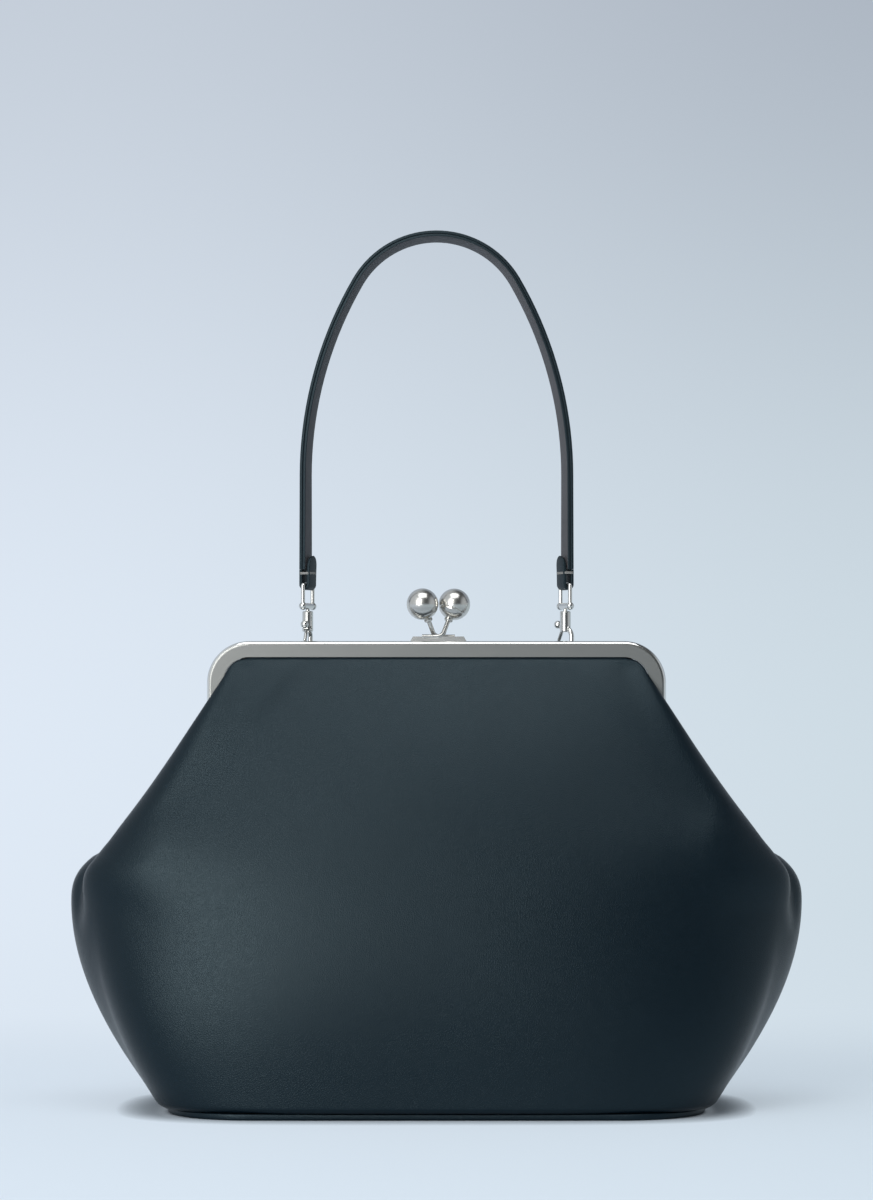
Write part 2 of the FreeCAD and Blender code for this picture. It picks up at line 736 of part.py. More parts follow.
def strap_station(t):
    if t < 1.0:
        x = strap_half_span
        z = strap_foot + (straight_top - strap_foot) * t
        lean = 0.5 * math.pi
    elif t < 2.0:
        lean = 0.5 * math.pi + (crown - 0.5 * math.pi) * (t - 1.0)
        x = strap_half_span - side_radius + side_radius * math.sin(lean)
        z = straight_top + side_radius * math.cos(lean)
    else:
        lean = crown * (3.0 - t)
        x = strap_crown_radius * math.sin(lean)
        z = strap_crown - strap_crown_radius * (1.0 - math.cos(lean))
    twist = math.radians(strap_end_twist + (strap_crown_twist - strap_end_twist) * t / 3.0)
    return x, z, lean, twist


def strap_wire(side, t, low, high):
    x, z, lean, twist = strap_station(t)
    out = Vec(side * math.sin(lean), 0, math.cos(lean))
    across = Vec(0, -math.cos(twist), 0) + out * math.sin(twist)
    thick = out * math.cos(twist) + Vec(0, math.sin(twist), 0)
    middle = Vec(side * x, loop_y, z)
    half = 0.5 * strap_width
    corners = [
        middle - across * half + thick * low,
        middle + across * half + thick * low,
        middle + across * half + thick * high,
        middle - across * half + thick * high,
    ]
    return Part.makePolygon(corners + [corners[0]])


def strap_band(low, high):
    climb = [0.0, 0.35, 0.7, 1.0, 1.3, 1.65, 2.0, 2.25, 2.5, 2.75]
    wires = [strap_wire(-1.0, t, low, high) for t in climb]
    wires = wires + [strap_wire(-1.0, 3.0, low, high)]
    wires = wires + [strap_wire(1.0, t, low, high) for t in reversed(climb)]
    return Part.makeLoft(wires, True, False)


strap_outer = strap_band(0.5 * strap_layer_gap, 0.5 * strap_layer_gap + strap_layer)
strap_inner = strap_band(-0.5 * strap_layer_gap - strap_layer, -0.5 * strap_layer_gap)
export(strap_outer, "strap_outer")
export(strap_inner, "strap_inner")

# Strap ends: the leather turns round the bail and comes back up as a pointed tab.
wrap_in = bail_wire_radius + wrap_clearance
wrap_out = wrap_in + strap_layer
tab_foot_x = -wrap_in
tab_far = tab_foot_x - tab_spread
wrap_top = strap_foot - 0.1
profile = [
    Part.makeLine(Vec(wrap_in, 0, wrap_top), Vec(wrap_in, 0, wire_z)),
    Part.Arc(Vec(wrap_in, 0, wire_z), Vec(0, 0, wire_z - wrap_in), Vec(-wrap_in, 0, wire_z)).toShape(),
    Part.makeLine(Vec(-wrap_in, 0, wire_z), Vec(tab_far, 0, tab_tip)),
    Part.makeLine(Vec(tab_far, 0, tab_tip), Vec(tab_far - strap_layer, 0, tab_tip)),
    Part.makeLine(Vec(tab_far - strap_layer, 0, tab_tip), Vec(-wrap_out, 0, wire_z)),
    Part.Arc(Vec(-wrap_out, 0, wire_z), Vec(0, 0, wire_z - wrap_out), Vec(wrap_out, 0, wire_z)).toShape(),
    Part.makeLine(Vec(wrap_out, 0, wire_z), Vec(wrap_out, 0, wrap_top)),
    Part.makeLine(Vec(wrap_out, 0, wrap_top), Vec(wrap_in, 0, wrap_top)),
]
wrap = Part.Face(Part.Wire(profile)).extrude(Vec(0, strap_width, 0))
wrap.translate(Vec(0, -0.5 * strap_width, 0))
for side in (-1.0, 1.0):
    corner = Part.makePolygon(
        [
            Vec(-20.0, side * 0.5 * strap_width, tab_tip - 2.0 * tab_point),
            Vec(-20.0, side * 0.5 * strap_width, tab_tip + 1.0),
            Vec(-20.0, side * (0.5 * strap_width - tab_point), tab_tip + 1.0),
            Vec(-20.0, side * (0.5 * strap_width - tab_point), tab_tip),
            Vec(-20.0, side * 0.5 * strap_width, tab_tip - 2.0 * tab_point),
        ]
    )
    wrap = wrap.cut(Part.Face(corner).extrude(Vec(19.0, 0, 0)))
for side, name in ((-1.0, "left"), (1.0, "right")):
    end = wrap.copy()
    end.rotate(Vec(0, 0, 0), Vec(0, 0, 1), strap_end_twist if side > 0 else 180.0 - strap_end_twist)
    end.translate(Vec(side * loop_x, loop_y, 0))
    export(end, name + "_strap_end")
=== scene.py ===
# %% [markdown]
# # A kiss lock frame purse
# A frame purse is a soft leather body that hangs in a hinged metal frame. Two balls on bent wires
# snap past each other to keep the frame shut, and a short strap hangs from two snap hooks.
# The solids of the purse come in first. They fix every size and place, and nothing here moves them.

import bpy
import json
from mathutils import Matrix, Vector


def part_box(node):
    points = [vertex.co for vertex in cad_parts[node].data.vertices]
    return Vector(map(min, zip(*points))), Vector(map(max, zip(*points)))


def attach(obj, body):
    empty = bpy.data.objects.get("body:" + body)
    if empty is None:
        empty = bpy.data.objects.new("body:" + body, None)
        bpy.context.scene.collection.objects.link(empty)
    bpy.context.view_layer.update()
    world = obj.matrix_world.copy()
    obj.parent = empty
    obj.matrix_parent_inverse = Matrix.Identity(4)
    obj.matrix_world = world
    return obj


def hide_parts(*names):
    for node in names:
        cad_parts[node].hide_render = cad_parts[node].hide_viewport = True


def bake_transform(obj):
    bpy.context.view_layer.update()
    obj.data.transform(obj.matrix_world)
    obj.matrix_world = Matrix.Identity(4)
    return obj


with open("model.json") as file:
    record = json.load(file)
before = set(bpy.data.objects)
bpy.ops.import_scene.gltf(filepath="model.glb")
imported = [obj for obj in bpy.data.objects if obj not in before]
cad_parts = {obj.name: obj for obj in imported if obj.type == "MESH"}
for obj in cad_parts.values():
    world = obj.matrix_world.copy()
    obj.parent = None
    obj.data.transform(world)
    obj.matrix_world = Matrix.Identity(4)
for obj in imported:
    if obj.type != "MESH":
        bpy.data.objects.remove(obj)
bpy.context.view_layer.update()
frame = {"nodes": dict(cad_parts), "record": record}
solids = frame["nodes"]

# %% [markdown]
# ## A few habits for modelling by hand in code
# Every operator acts on what is selected, so each piece starts with nothing selected. A finished piece
# keeps its object at the origin with its place in the mesh, exactly as the solids do. Sizes are written
# in millimetres, as on a maker's drawing, and turned into metres where a mesh needs them.

# %% Small helpers
import math

import bpy
import numpy as np
from mathutils import Matrix, Vector, noise

MM = 0.001


def select_only(piece):
    bpy.ops.object.select_all(action="DESELECT")
    piece.select_set(True)
    bpy.context.view_layer.objects.active = piece


def new_piece(name):
    piece = bpy.context.object
    piece.name = name
    piece.data.name = name
    return piece


def ease(start, end, value):
    """Goes softly from 0 at start to 1 at end, which may lie below start."""
    t = np.clip((value - start) / (end - start), 0.0, 1.0)
    return t * t * (3.0 - 2.0 * t)


print("ease at a quarter of the way", ease(0.0, 1.0, 0.25))

# %% [markdown]
# ## The camera
# The photograph looks straight at the front from about two metres, a little above the clasp's foot.
# A long lens keeps the frame's two legs upright. A slight upward tilt places the horizon, so no lens
# shift is needed.

# %% Camera
camera_distance = 2.0
camera_height = 0.22
camera_tilt = math.radians(91.276)
camera_place = (0.0, -camera_distance, camera_height)
bpy.ops.object.camera_add(location=camera_place, rotation=(camera_tilt, 0.0, 0.0))
camera = bpy.context.object
camera.data.lens = 114.5
camera.data.sensor_width = 36.0
camera.data.clip_end = 50.0
bpy.context.scene.camera = camera
print("camera", [round(v, 3) for v in camera.location], "lens", camera.data.lens)

# %% [markdown]
# ## The leather's drawing
# The body is two pieces of leather, front and rear, that meet in a seam at each side. Seen level by
# level, the front piece starts at the left seam, turns a soft corner, runs nearly flat across the
# front and turns back to the right seam. Above the ears the seam tucks inwards as a pleat, so that
# the frame can open. The outer sizes are read from the solids. The walls lean back a few millimetres
# more than the solids do, because that puts the highlights where the photograph has them.

# %% Sizes of the frame in millimetres
frame_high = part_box("front_frame")[1]
frame_top = frame_high.z / MM
frame_half_width = frame_high.x / MM
frame_face = 8.4
frame_corner_radius = 22.0
leg_length = 44.0
hinge_drop = 14.0
slot_y = 5.2
slot_roof = 3.2
leg_foot = frame_top - leg_length
hinge_height = leg_foot - hinge_drop
frame_inner_top = frame_top - frame_face
corner_x = frame_half_width - frame_corner_radius
corner_z = frame_top - frame_corner_radius
slot_end = frame_top - slot_roof
print("frame top", round(frame_top, 2), "hinges at", round(hinge_height, 2))

# %% Sizes of the leather body in millimetres
base_inset = 2.5
base_low, base_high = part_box("base_panel")
base_half_length = base_high.x / MM + base_inset
base_half_depth = base_high.y / MM + base_inset
body_half_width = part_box("front_panel")[1].x / MM
body_half_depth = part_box("rear_panel")[1].y / MM
widest_height = 107.0
fullest_height = 45.0
ear_height = 131.0
ear_half_width = 179.0
tuck_half_width = frame_half_width - 8.0
wall_foot = 3.4
leather_thickness = 1.4
print("body half width", round(body_half_width, 2), "half depth", round(body_half_depth, 2))
print("base half length", round(base_half_length, 2), "half depth", round(base_half_depth, 2))

# %% Curves of the sides
mouth_clearance = 0.5
flank_power = 1.9
ear_power = 2.7
tuck_power = 1.6
ear_ridge_half_width = 178.0
side_bulge = 7.0
ridge_top_reach = 6.6
ridge_flare = 0.09


def mouth_half_width(z):
    """Room between the legs of the frame."""
    if z <= corner_z:
        reach = frame_half_width - frame_face
    elif z >= frame_inner_top:
        reach = corner_x
    else:
        inner_radius = frame_corner_radius - frame_face
        reach = corner_x + math.sqrt(inner_radius**2 - (z - corner_z) ** 2)
    return reach - mouth_clearance


def seam_half_width(z):
    """Where the side seam lies: out to the widest height, in over the ear, then in the pleat."""
    if z <= widest_height:
        u = 1.0 - z / widest_height
        return body_half_width - (body_half_width - base_half_length) * u**flank_power
    if z <= ear_height:
        u = (z - widest_height) / (ear_height - widest_height)
        return body_half_width - (body_half_width - ear_half_width) * u**ear_power
    if z <= hinge_height:
        u = (hinge_height - z) / (hinge_height - ear_height)
        return tuck_half_width + (ear_half_width - tuck_half_width) * u**tuck_power
    u = ease(hinge_height, leg_foot, z)
    return tuck_half_width + (mouth_half_width(z) - tuck_half_width) * u


def ridge_half_width(z):
    """Where the fold beside the seam lies, which is the outline above the ears."""
    if z <= ear_height:
        ear_step = (ear_half_width - ear_ridge_half_width) * z / ear_height
        return seam_half_width(z) - ear_step - side_bulge * math.sin(math.pi * z / ear_height)
    top = corner_x + ridge_top_reach
    u = max(0.0, (frame_inner_top - z) / (frame_inner_top - ear_height))
    return top + (ear_ridge_half_width - top) * ((1.0 - ridge_flare) * u + ridge_flare * u**5)


print("seam and ridge at the ears", seam_half_width(ear_height), round(ridge_half_width(ear_height), 1))

# %% Curves of the front
wall_top_y = slot_y + 0.3
wall_lean_power = 1.9
pleat_at_ear, pleat_at_hinge, pleat_in_legs = 32.0, 20.0, 14.0


def front_depth(z):
    """How far the front reaches: out to its fullest height, then back to the frame."""
    if z <= fullest_height:
        u = 1.0 - z / fullest_height
        return body_half_depth - (body_half_depth - base_half_depth) * u**2
    u = min(1.0, (z - fullest_height) / (frame_inner_top - fullest_height))
    return wall_top_y + (body_half_depth - wall_top_y) * (1.0 - u**wall_lean_power)


def pleat_half_depth(z):
    """Half the depth of the pleat, which narrows to the hinge and again in the frame's legs."""
    to_hinge = (pleat_at_ear - pleat_at_hinge) * ease(ear_height, hinge_height, z)
    to_legs = (pleat_at_hinge - pleat_in_legs) * ease(hinge_height, leg_foot + 5.0, z)
    return pleat_at_ear - to_hinge - to_legs


print("front depth at the ears", round(front_depth(ear_height), 1))

# %% One level of the leather
seam_overlap = 0.15
front_crown = 14.0
crown_foot = 95.0
crown_fade = 0.62
most_crown = 0.35
ridge_fold_foot = 100.0
ridge_fold_height = 160.0
ridge_fold_width = 15.0
ridge_fold_taper = 6.0
corner_depth, folded_corner_loss = 0.98, 0.62
corner_square, corner_softening, folded_softening = 4.4, 1.7, 0.4
least_side_run = 4.0


def half_level(z, count=121):
    """Half a level of the front leather, from the left seam to the middle of the front."""
    if z >= frame_inner_top - 0.5:
        x = np.linspace(corner_x - 1.0, 0.0, 3 * count)
        return x, np.full(3 * count, slot_y)
    start = -seam_overlap + (slot_y + seam_overlap) * ease(hinge_height, leg_foot, z)
    depth = front_depth(z) - start
    ridge = ridge_half_width(z)
    tight = ease(ridge_fold_foot, ridge_fold_height, z)
    crown = front_crown * ease(crown_foot, ridge_fold_height, z) * ease(slot_end, crown_fade * slot_end, z)
    crown = min(crown, most_crown * depth)
    wide = ridge * (1.0 - tight) + ridge_fold_width * tight
    wide = wide - ridge_fold_taper * ease(ridge_fold_height, corner_z, z)
    deep = (corner_depth - folded_corner_loss * tight) * (depth - crown)
    side_run = depth - crown - deep
    square = corner_square - corner_softening * ease(0.0, widest_height, z) - folded_softening * tight
    power = 2.0 / square
    step = np.linspace(0.0, 1.0, count)
    turn = 0.5 * math.pi * step
    corner_run_x = ridge - wide * (1.0 - np.cos(turn).clip(0.0) ** power)
    corner_run_y = side_run + deep * np.sin(turn) ** power
    x = np.concatenate([np.full(count, ridge), corner_run_x, (ridge - wide) * (1.0 - step)])
    y = np.concatenate([side_run * step, corner_run_y, np.full(count, side_run + deep)])
    y = y + crown * (1.0 - (x / ridge) ** 2)
    room = max(least_side_run, side_run) + pleat_half_depth(z) * (1.0 - tight)
    side = np.minimum(1.0, y / min(pleat_half_depth(z), room))
    fold = 2.0 + 2.0 * ease(ear_height, hinge_height, z)
    x = x - (ridge - seam_half_width(z)) * (1.0 - side**fold) ** 2
    x[-1] = 0.0
    return np.maximum(x, 0.0), start + y


print("half level at the ears", [round(float(v), 1) for v in half_level(ear_height)[0][:3]])

# %% [markdown]
# ## Soft forms on the leather
# Leather is never a pure curve. It rolls inwards where it is turned into the side seam and the base
# seam, it puckers a little where the frame grips it, it is nipped below the ears, and it carries
# shallow dents from use. Each of these is a small distance added along the leather's own normal, so
# the drawing above stays in charge.

# %% Rolls, puckers and dents
seam_roll = 1.9
seam_roll_width = 1.9
base_roll = 1.8
base_roll_height = 2.8
pucker_depth = 0.28
pucker_reach = 13.0
pull_top_x = 97.0
pull_slant = 0.36
pull_width = 6.0
pull_depth = 0.6
pull_reach = 45.0
notch_y = 17.0
notch_width = 6.5
notch_depth = 5.0
wander_depth = 0.15
wander_wide, wander_high, wander_deep = 70.0, 80.0, 90.0


def hump(distance, width):
    return np.exp(-((distance / width) ** 2))


def soft_inset(x, y, z, run):
    """How far a point lies inside the drawing, in millimetres. run is its way from the seam."""
    below = frame_inner_top - z
    along_seam = 1.0 - ease(hinge_height - 30.0, hinge_height, z)
    inset = seam_roll * along_seam * hump(run, seam_roll_width)
    low = max(0.0, 1.0 - (z - wall_foot) / base_roll_height)
    inset = inset + base_roll * low**2
    grip = math.exp(-below / pucker_reach) * ease(0.0, 5.0, below)
    pucker = np.sin(x / 5.3 + 1.1) + 0.7 * np.sin(x / 8.7 + 2.3)
    inset = inset + pucker_depth * grip * pucker
    pull_x = pull_top_x + pull_slant * below
    pull = math.exp(-below / pull_reach) * ease(0.0, 6.0, below)
    inset = inset + pull_depth * pull * hump(np.abs(x) - pull_x, pull_width)
    notch = ease(ear_height - 45.0, ear_height - 10.0, z) * ease(ear_height + 6.0, ear_height - 3.0, z)
    inset = inset + notch_depth * notch * hump(y - notch_y, notch_width)
    free = ease(6.0, 40.0, z) * ease(2.0, 40.0, below)
    spots = [Vector((px / wander_wide, z / wander_high, py / wander_deep)) for px, py in zip(x, y)]
    wander = np.array([noise.noise(spot) for spot in spots])
    return inset + wander_depth * free * ease(8.0, 30.0, run) * wander


ear_seam = soft_inset(np.array([0.0]), np.array([0.0]), ear_height, np.array([0.0]))
print("inset of the seam at the ears", round(float(ear_seam[0]), 2))


# %% Points of one level
def leather_level(z, depth, spots):
    """One level of the front leather from seam to seam as points in metres."""
    x, y = half_level(z)
    steps = np.hypot(np.diff(x), np.diff(y))
    keep = np.concatenate([[True], steps > 1e-9])
    x, y = x[keep], y[keep]
    run = np.concatenate([[0.0], np.cumsum(np.hypot(np.diff(x), np.diff(y)))])
    wanted = run[-1] * spots
    px = np.interp(wanted, run, x)
    py = np.interp(wanted, run, y)
    nx = np.interp(wanted, run, np.gradient(y, run))
    ny = np.interp(wanted, run, -np.gradient(x, run))
    length = np.hypot(nx, ny)
    nx, ny = nx / length, ny / length
    nx[0], ny[0] = 1.0, 0.0
    nx[-1], ny[-1] = 0.0, 1.0
    flat = ease(corner_z + 3.0, frame_inner_top - 0.5, z)
    nx, ny = nx * (1.0 - flat), ny * (1.0 - flat) + flat
    sides = []
    for sign in (-1.0, 1.0):
        inset = depth + soft_inset(sign * px, py, z, wanted)
        sx = sign * np.maximum(0.0, px - nx * inset)
        sides.append(np.stack([sx, -(py - ny * inset), np.full_like(px, z)], axis=1))
    return np.concatenate([sides[0], sides[1][-2::-1]]) * MM


print("points in a coarse level", len(leather_level(ear_height, 0.0, np.linspace(0.0, 1.0, 9))))

# %% [markdown]
# ## Sewing the body
# A flat grid is the cut leather. Each of its rows is laid on one level of the drawing, which lofts the
# sheet into the body's form, and a wall is added on the inside. Columns crowd towards the seams, where
# the leather bends most. The rear piece is the same cut turned over.


# %% Loft a grid
def loft_grid(name, points):
    """A grid of faces through rows of points, given as an array of rows, columns and xyz."""
    rows, columns = points.shape[:2]
    bpy.ops.object.select_all(action="DESELECT")
    bpy.ops.mesh.primitive_grid_add(x_subdivisions=columns - 1, y_subdivisions=rows - 1, size=2.0)
    piece = new_piece(name)
    flat = np.zeros(rows * columns * 3, np.float32)
    piece.data.vertices.foreach_get("co", flat)
    flat = flat.reshape(-1, 3)
    column = np.rint((flat[:, 0] + 1.0) * 0.5 * (columns - 1)).astype(int)
    row = np.rint((flat[:, 1] + 1.0) * 0.5 * (rows - 1)).astype(int)
    piece.data.vertices.foreach_set("co", points[row, column].astype(np.float32).ravel())
    piece.data.update()
    return piece


def apply_modifier(piece, kind, **settings):
    select_only(piece)
    modifier = piece.modifiers.new(kind.title(), kind)
    for key, value in settings.items():
        setattr(modifier, key, value)
    bpy.ops.object.modifier_apply(modifier=modifier.name)


# %% Lay a sheet on the drawing
settle_amount = 450.0
settle_from, settle_to = 0.28, 0.44
column_crowding = 1.6


def settle(points, heights, spots):
    """Eases the rows of the open front into each other, because stiff leather bends in no sharp line."""
    free = ease(6.0, 16.0, heights) * ease(frame_inner_top - 2.0, frame_inner_top - 14.0, heights)
    share = 0.5 * free[:, None, None] * ease(settle_from, settle_to, spots)[None, :, None]
    rounds = int(settle_amount / np.median(np.diff(heights)) ** 2)
    for _ in range(rounds):
        points[1:-1] += share[1:-1] * (0.5 * (points[:-2] + points[2:]) - points[1:-1])


def leather_sheet(name, depth, thickness, heights, columns, rear):
    spots = np.linspace(0.0, 1.0, columns) ** column_crowding
    points = np.array([leather_level(z, depth, spots) for z in heights])
    settle(points, heights, np.concatenate([spots, spots[-2::-1]]))
    if rear:
        points = points[:, ::-1] * np.array([1.0, -1.0, 1.0])
    sheet = loft_grid(name, points)
    apply_modifier(sheet, "SOLIDIFY", thickness=thickness * MM, offset=-1.0, use_even_offset=False)
    bpy.ops.object.shade_smooth()
    return sheet


# %% Front and rear leather
leather_columns = 101
turned_foot = wall_foot + 3.0
body_heights = np.concatenate(
    [
        np.linspace(wall_foot, turned_foot, 6, endpoint=False),
        np.linspace(turned_foot, frame_inner_top, 136, endpoint=False),
        np.linspace(frame_inner_top, slot_end, 5),
    ]
)
front_leather = leather_sheet("front_leather", 0.0, leather_thickness, body_heights, leather_columns, False)
rear_leather = leather_sheet("rear_leather", 0.0, leather_thickness, body_heights, leather_columns, True)
print("front leather faces", len(front_leather.data.polygons))

# %% [markdown]
# ## The lining
# Inside the leather hangs a thin woven lining, cut to the same drawing a little smaller. It only shows
# when the frame opens, so it takes fewer rows than the leather.

# %% Lining
lining_depth = leather_thickness + 0.15
lining_thickness = 0.6
lining_columns = 61
lining_heights = np.linspace(wall_foot + 4.0, frame_inner_top + 1.5, 96)
lining_cut = (lining_depth, lining_thickness, lining_heights, lining_columns)
front_cloth = leather_sheet("front_lining_cloth", *lining_cut, False)
rear_cloth = leather_sheet("rear_lining_cloth", *lining_cut, True)
print("lining faces", len(front_cloth.data.polygons))

# %% [markdown]
# ## The base
# The bag stands on a leather base with rounded corners. Its rim shows as a low band under the seam.
# It starts as a block, the upright corners are bevelled to the real radius, and the lower edge gets
# a small turned-over round. The lining of the base is a thinner block of the same kind.


# %% Rounded slabs
def bevel_edges(piece, chosen, radius, steps):
    """Rounds the edges that the test chosen accepts from their two end points."""
    select_only(piece)
    bpy.ops.object.mode_set(mode="EDIT")
    bpy.ops.mesh.select_mode(type="EDGE")
    bpy.ops.mesh.select_all(action="DESELECT")
    bpy.ops.object.mode_set(mode="OBJECT")
    for edge in piece.data.edges:
        edge.select = chosen(*(piece.data.vertices[i].co for i in edge.vertices))
    bpy.ops.object.mode_set(mode="EDIT")
    bpy.ops.mesh.bevel(offset=radius * MM, segments=steps, affect="EDGES")
    bpy.ops.mesh.select_mode(type="VERT")
    bpy.ops.object.mode_set(mode="OBJECT")


def rounded_slab(name, low, high, corner_radius, corner_steps):
    bpy.ops.object.select_all(action="DESELECT")
    bpy.ops.mesh.primitive_cube_add(size=1.0, location=(low + high) / 2.0, scale=high - low)
    slab = new_piece(name)
    bpy.ops.object.transform_apply(location=True, rotation=True, scale=True)
    bevel_edges(slab, lambda a, b: abs(a.z - b.z) > 0.5 * (high.z - low.z), corner_radius, corner_steps)
    return slab


def at_height(z):
    return lambda a, b: abs(a.z - z) < 1e-5 and abs(b.z - z) < 1e-5


def smooth_by_angle(piece, degrees):
    select_only(piece)
    bpy.ops.object.shade_smooth_by_angle(angle=math.radians(degrees))


# %% Base leather and its lining
base_corner, base_lower_round, base_upper_round = 44.0, 1.1, 0.6
base_leather = rounded_slab("base_leather", base_low, base_high, base_corner, 24)
bevel_edges(base_leather, at_height(base_low.z), base_lower_round, 5)
bevel_edges(base_leather, at_height(base_high.z), base_upper_round, 3)
smooth_by_angle(base_leather, 40.0)

cloth_corner, cloth_round = 40.0, 0.3
cloth_low, cloth_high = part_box("base_lining")
base_cloth = rounded_slab("base_lining_cloth", cloth_low, cloth_high, cloth_corner, 16)
bevel_edges(base_cloth, at_height(cloth_high.z), cloth_round, 3)
smooth_by_angle(base_cloth, 40.0)
print("base", [round(v / MM, 1) for v in base_high - base_low])

# %% [markdown]
# ## The strap
# The strap is two thin leather layers glued back to back. It stands up as an arch: a tight crown bend
# and two slack sides. It also turns a little about its own length, so its inner face shows from the
# front. Each layer is a flat section with rounded edges, carried along that line.

# %% Line of the strap
loop_y = 15.0
strap_width = 9.5
strap_layer = 1.7
strap_half_span = 69.1
strap_crown = 457.3
crown_radius = 48.0
crown_angle = math.radians(60.0)
wire_z = 273.0
strap_foot = wire_z + 8.0
end_twist = 22.0
crown_twist = 15.0
side_radius = (strap_half_span - crown_radius * math.sin(crown_angle)) / (1.0 - math.sin(crown_angle))
crown_low = strap_crown - crown_radius * (1.0 - math.cos(crown_angle))
straight_top = crown_low - side_radius * math.cos(crown_angle)


def strap_station(t):
    """Place, lean and twist of the strap, from its foot at 0 to the middle of the crown at 3."""
    if t < 1.0:
        lean = 0.5 * math.pi
        x = strap_half_span
        z = strap_foot + (straight_top - strap_foot) * t
    elif t < 2.0:
        lean = 0.5 * math.pi + (crown_angle - 0.5 * math.pi) * (t - 1.0)
        x = strap_half_span - side_radius + side_radius * math.sin(lean)
        z = straight_top + side_radius * math.cos(lean)
    else:
        lean = crown_angle * (3.0 - t)
        x = crown_radius * math.sin(lean)
        z = strap_crown - crown_radius * (1.0 - math.cos(lean))
    twist = math.radians(end_twist + (crown_twist - end_twist) * t / 3.0)
    return x, z, lean, twist


print("sides of the strap bend at radius", round(side_radius, 1))


# %% Skin through rings
def edit_mesh(piece, *steps):
    select_only(piece)
    bpy.ops.object.mode_set(mode="EDIT")
    bpy.ops.mesh.select_all(action="SELECT")
    for operator, settings in steps:
        operator(**settings)
    bpy.ops.object.mode_set(mode="OBJECT")


def ring_grid(name, rings):
    return loft_grid(name, np.array([[tuple(p) for p in ring] for ring in rings]))


def closed_loft(name, rings):
    """A closed skin through rings of points, each of which ends where it starts."""
    piece = ring_grid(name, rings)
    edit_mesh(
        piece,
        (bpy.ops.mesh.remove_doubles, {"threshold": 1e-6}),
        (bpy.ops.mesh.select_all, {"action": "DESELECT"}),
        (bpy.ops.mesh.select_non_manifold, {"extend": False}),
        (bpy.ops.mesh.fill_holes, {"sides": 0}),
        (bpy.ops.mesh.select_all, {"action": "SELECT"}),
        (bpy.ops.mesh.normals_make_consistent, {"inside": False}),
    )
    smooth_by_angle(piece, 50.0)
    return piece


def rounded_section(width, low, high, radius, steps=4):
    """A flat section as pairs of across and thick, with rounded edges, going round once."""
    pairs = []
    for sx, sz, first in ((1, 1, 0.0), (-1, 1, 90.0), (-1, -1, 180.0), (1, -1, 270.0)):
        cx = sx * (0.5 * width - radius)
        cz = (high - radius) if sz > 0 else (low + radius)
        for i in range(steps + 1):
            a = math.radians(first + 90.0 * i / steps)
            pairs.append((cx + radius * math.cos(a), cz + radius * math.sin(a)))
    return pairs + pairs[:1]


# %% Two layers of strap leather
strap_edge_radius = 0.55
glue_line, layer_rise = 0.03, 0.05
stations_per_stretch = 18


def strap_ring(side, t, pairs):
    x, z, lean, twist = strap_station(t)
    out = Vector((side * math.sin(lean), 0.0, math.cos(lean)))
    across = Vector((0.0, -math.cos(twist), 0.0)) + out * math.sin(twist)
    thick = out * math.cos(twist) + Vector((0.0, math.sin(twist), 0.0))
    middle = Vector((side * x, loop_y, z))
    return [(middle + across * a + thick * b) * MM for a, b in pairs]


def strap_band(name, low, high):
    climb = [i / stations_per_stretch for i in range(3 * stations_per_stretch)]
    pairs = rounded_section(strap_width, low, high, strap_edge_radius)
    rings = [strap_ring(-1.0, t, pairs) for t in climb]
    rings += [strap_ring(-1.0, 3.0, pairs)]
    rings += [strap_ring(1.0, t, pairs) for t in reversed(climb)]
    return closed_loft(name, rings)


strap_outer = strap_band("strap_outer_leather", glue_line, layer_rise + strap_layer)
strap_inner = strap_band("strap_inner_leather", -layer_rise - strap_layer, -glue_line)
print("strap faces", len(strap_outer.data.polygons))

# %% [markdown]
# ## The strap's ends
# Each end of the strap turns round the bar of its hook and comes back up as a short tongue with a
# rounded tip. Its line is drawn once, beside the bar, and then turned to the hook on either side.

# %% Strap ends
hook_half_span = 68.0
bail_wire_radius = 1.1
wrap_in = bail_wire_radius + 0.15
tab_length = 15.0
tab_lean = 0.5
tip_start = 0.62


def end_place(side):
    """The turn of a strap end about its hook, and the hook's place seen from above."""
    turn = Matrix.Rotation(math.radians(end_twist if side > 0 else 180.0 - end_twist), 3, "Z")
    return turn, Vector((side * hook_half_span, loop_y, 0.0))


def wrap_line():
    """Centre line of the turned end as place, direction of thickness and half width."""
    middle = wrap_in + 0.5 * strap_layer
    line = []
    for i in range(7):
        z = strap_foot - 0.1 + (wire_z - strap_foot + 0.1) * i / 6.0
        line.append((Vector((middle, 0.0, z)), Vector((1.0, 0.0, 0.0)), 0.5 * strap_width))
    for i in range(1, 13):
        a = math.pi * i / 12.0
        out = Vector((math.cos(a), 0.0, -math.sin(a)))
        line.append((Vector((0.0, 0.0, wire_z)) + out * middle, out, 0.5 * strap_width))
    for i in range(1, 17):
        u = i / 16.0
        lean = Vector((-middle - tab_lean * u**1.5, 0.0, wire_z + tab_length * u))
        out = Vector((-1.0, 0.0, 0.25 * u**0.5)).normalized()
        tip = max(0.0, (u - tip_start) / (1.0 - tip_start))
        half = 0.5 * strap_width * math.sqrt(max(0.03, 1.0 - tip**2.4))
        line.append((lean, out, half))
    return line


def strap_end(name, side):
    turn, foot = end_place(side)
    thick = 0.5 * strap_layer
    rings = []
    for place, out, half in wrap_line():
        pairs = rounded_section(2.0 * half, -thick, thick, min(strap_edge_radius, 0.6 * half))
        rings.append([(foot + turn @ (place + Vector((0, a, 0)) + out * b)) * MM for a, b in pairs])
    return closed_loft(name, rings)


left_end = strap_end("left_strap_end_leather", -1.0)
right_end = strap_end("right_strap_end_leather", 1.0)
print("strap end faces", len(left_end.data.polygons))

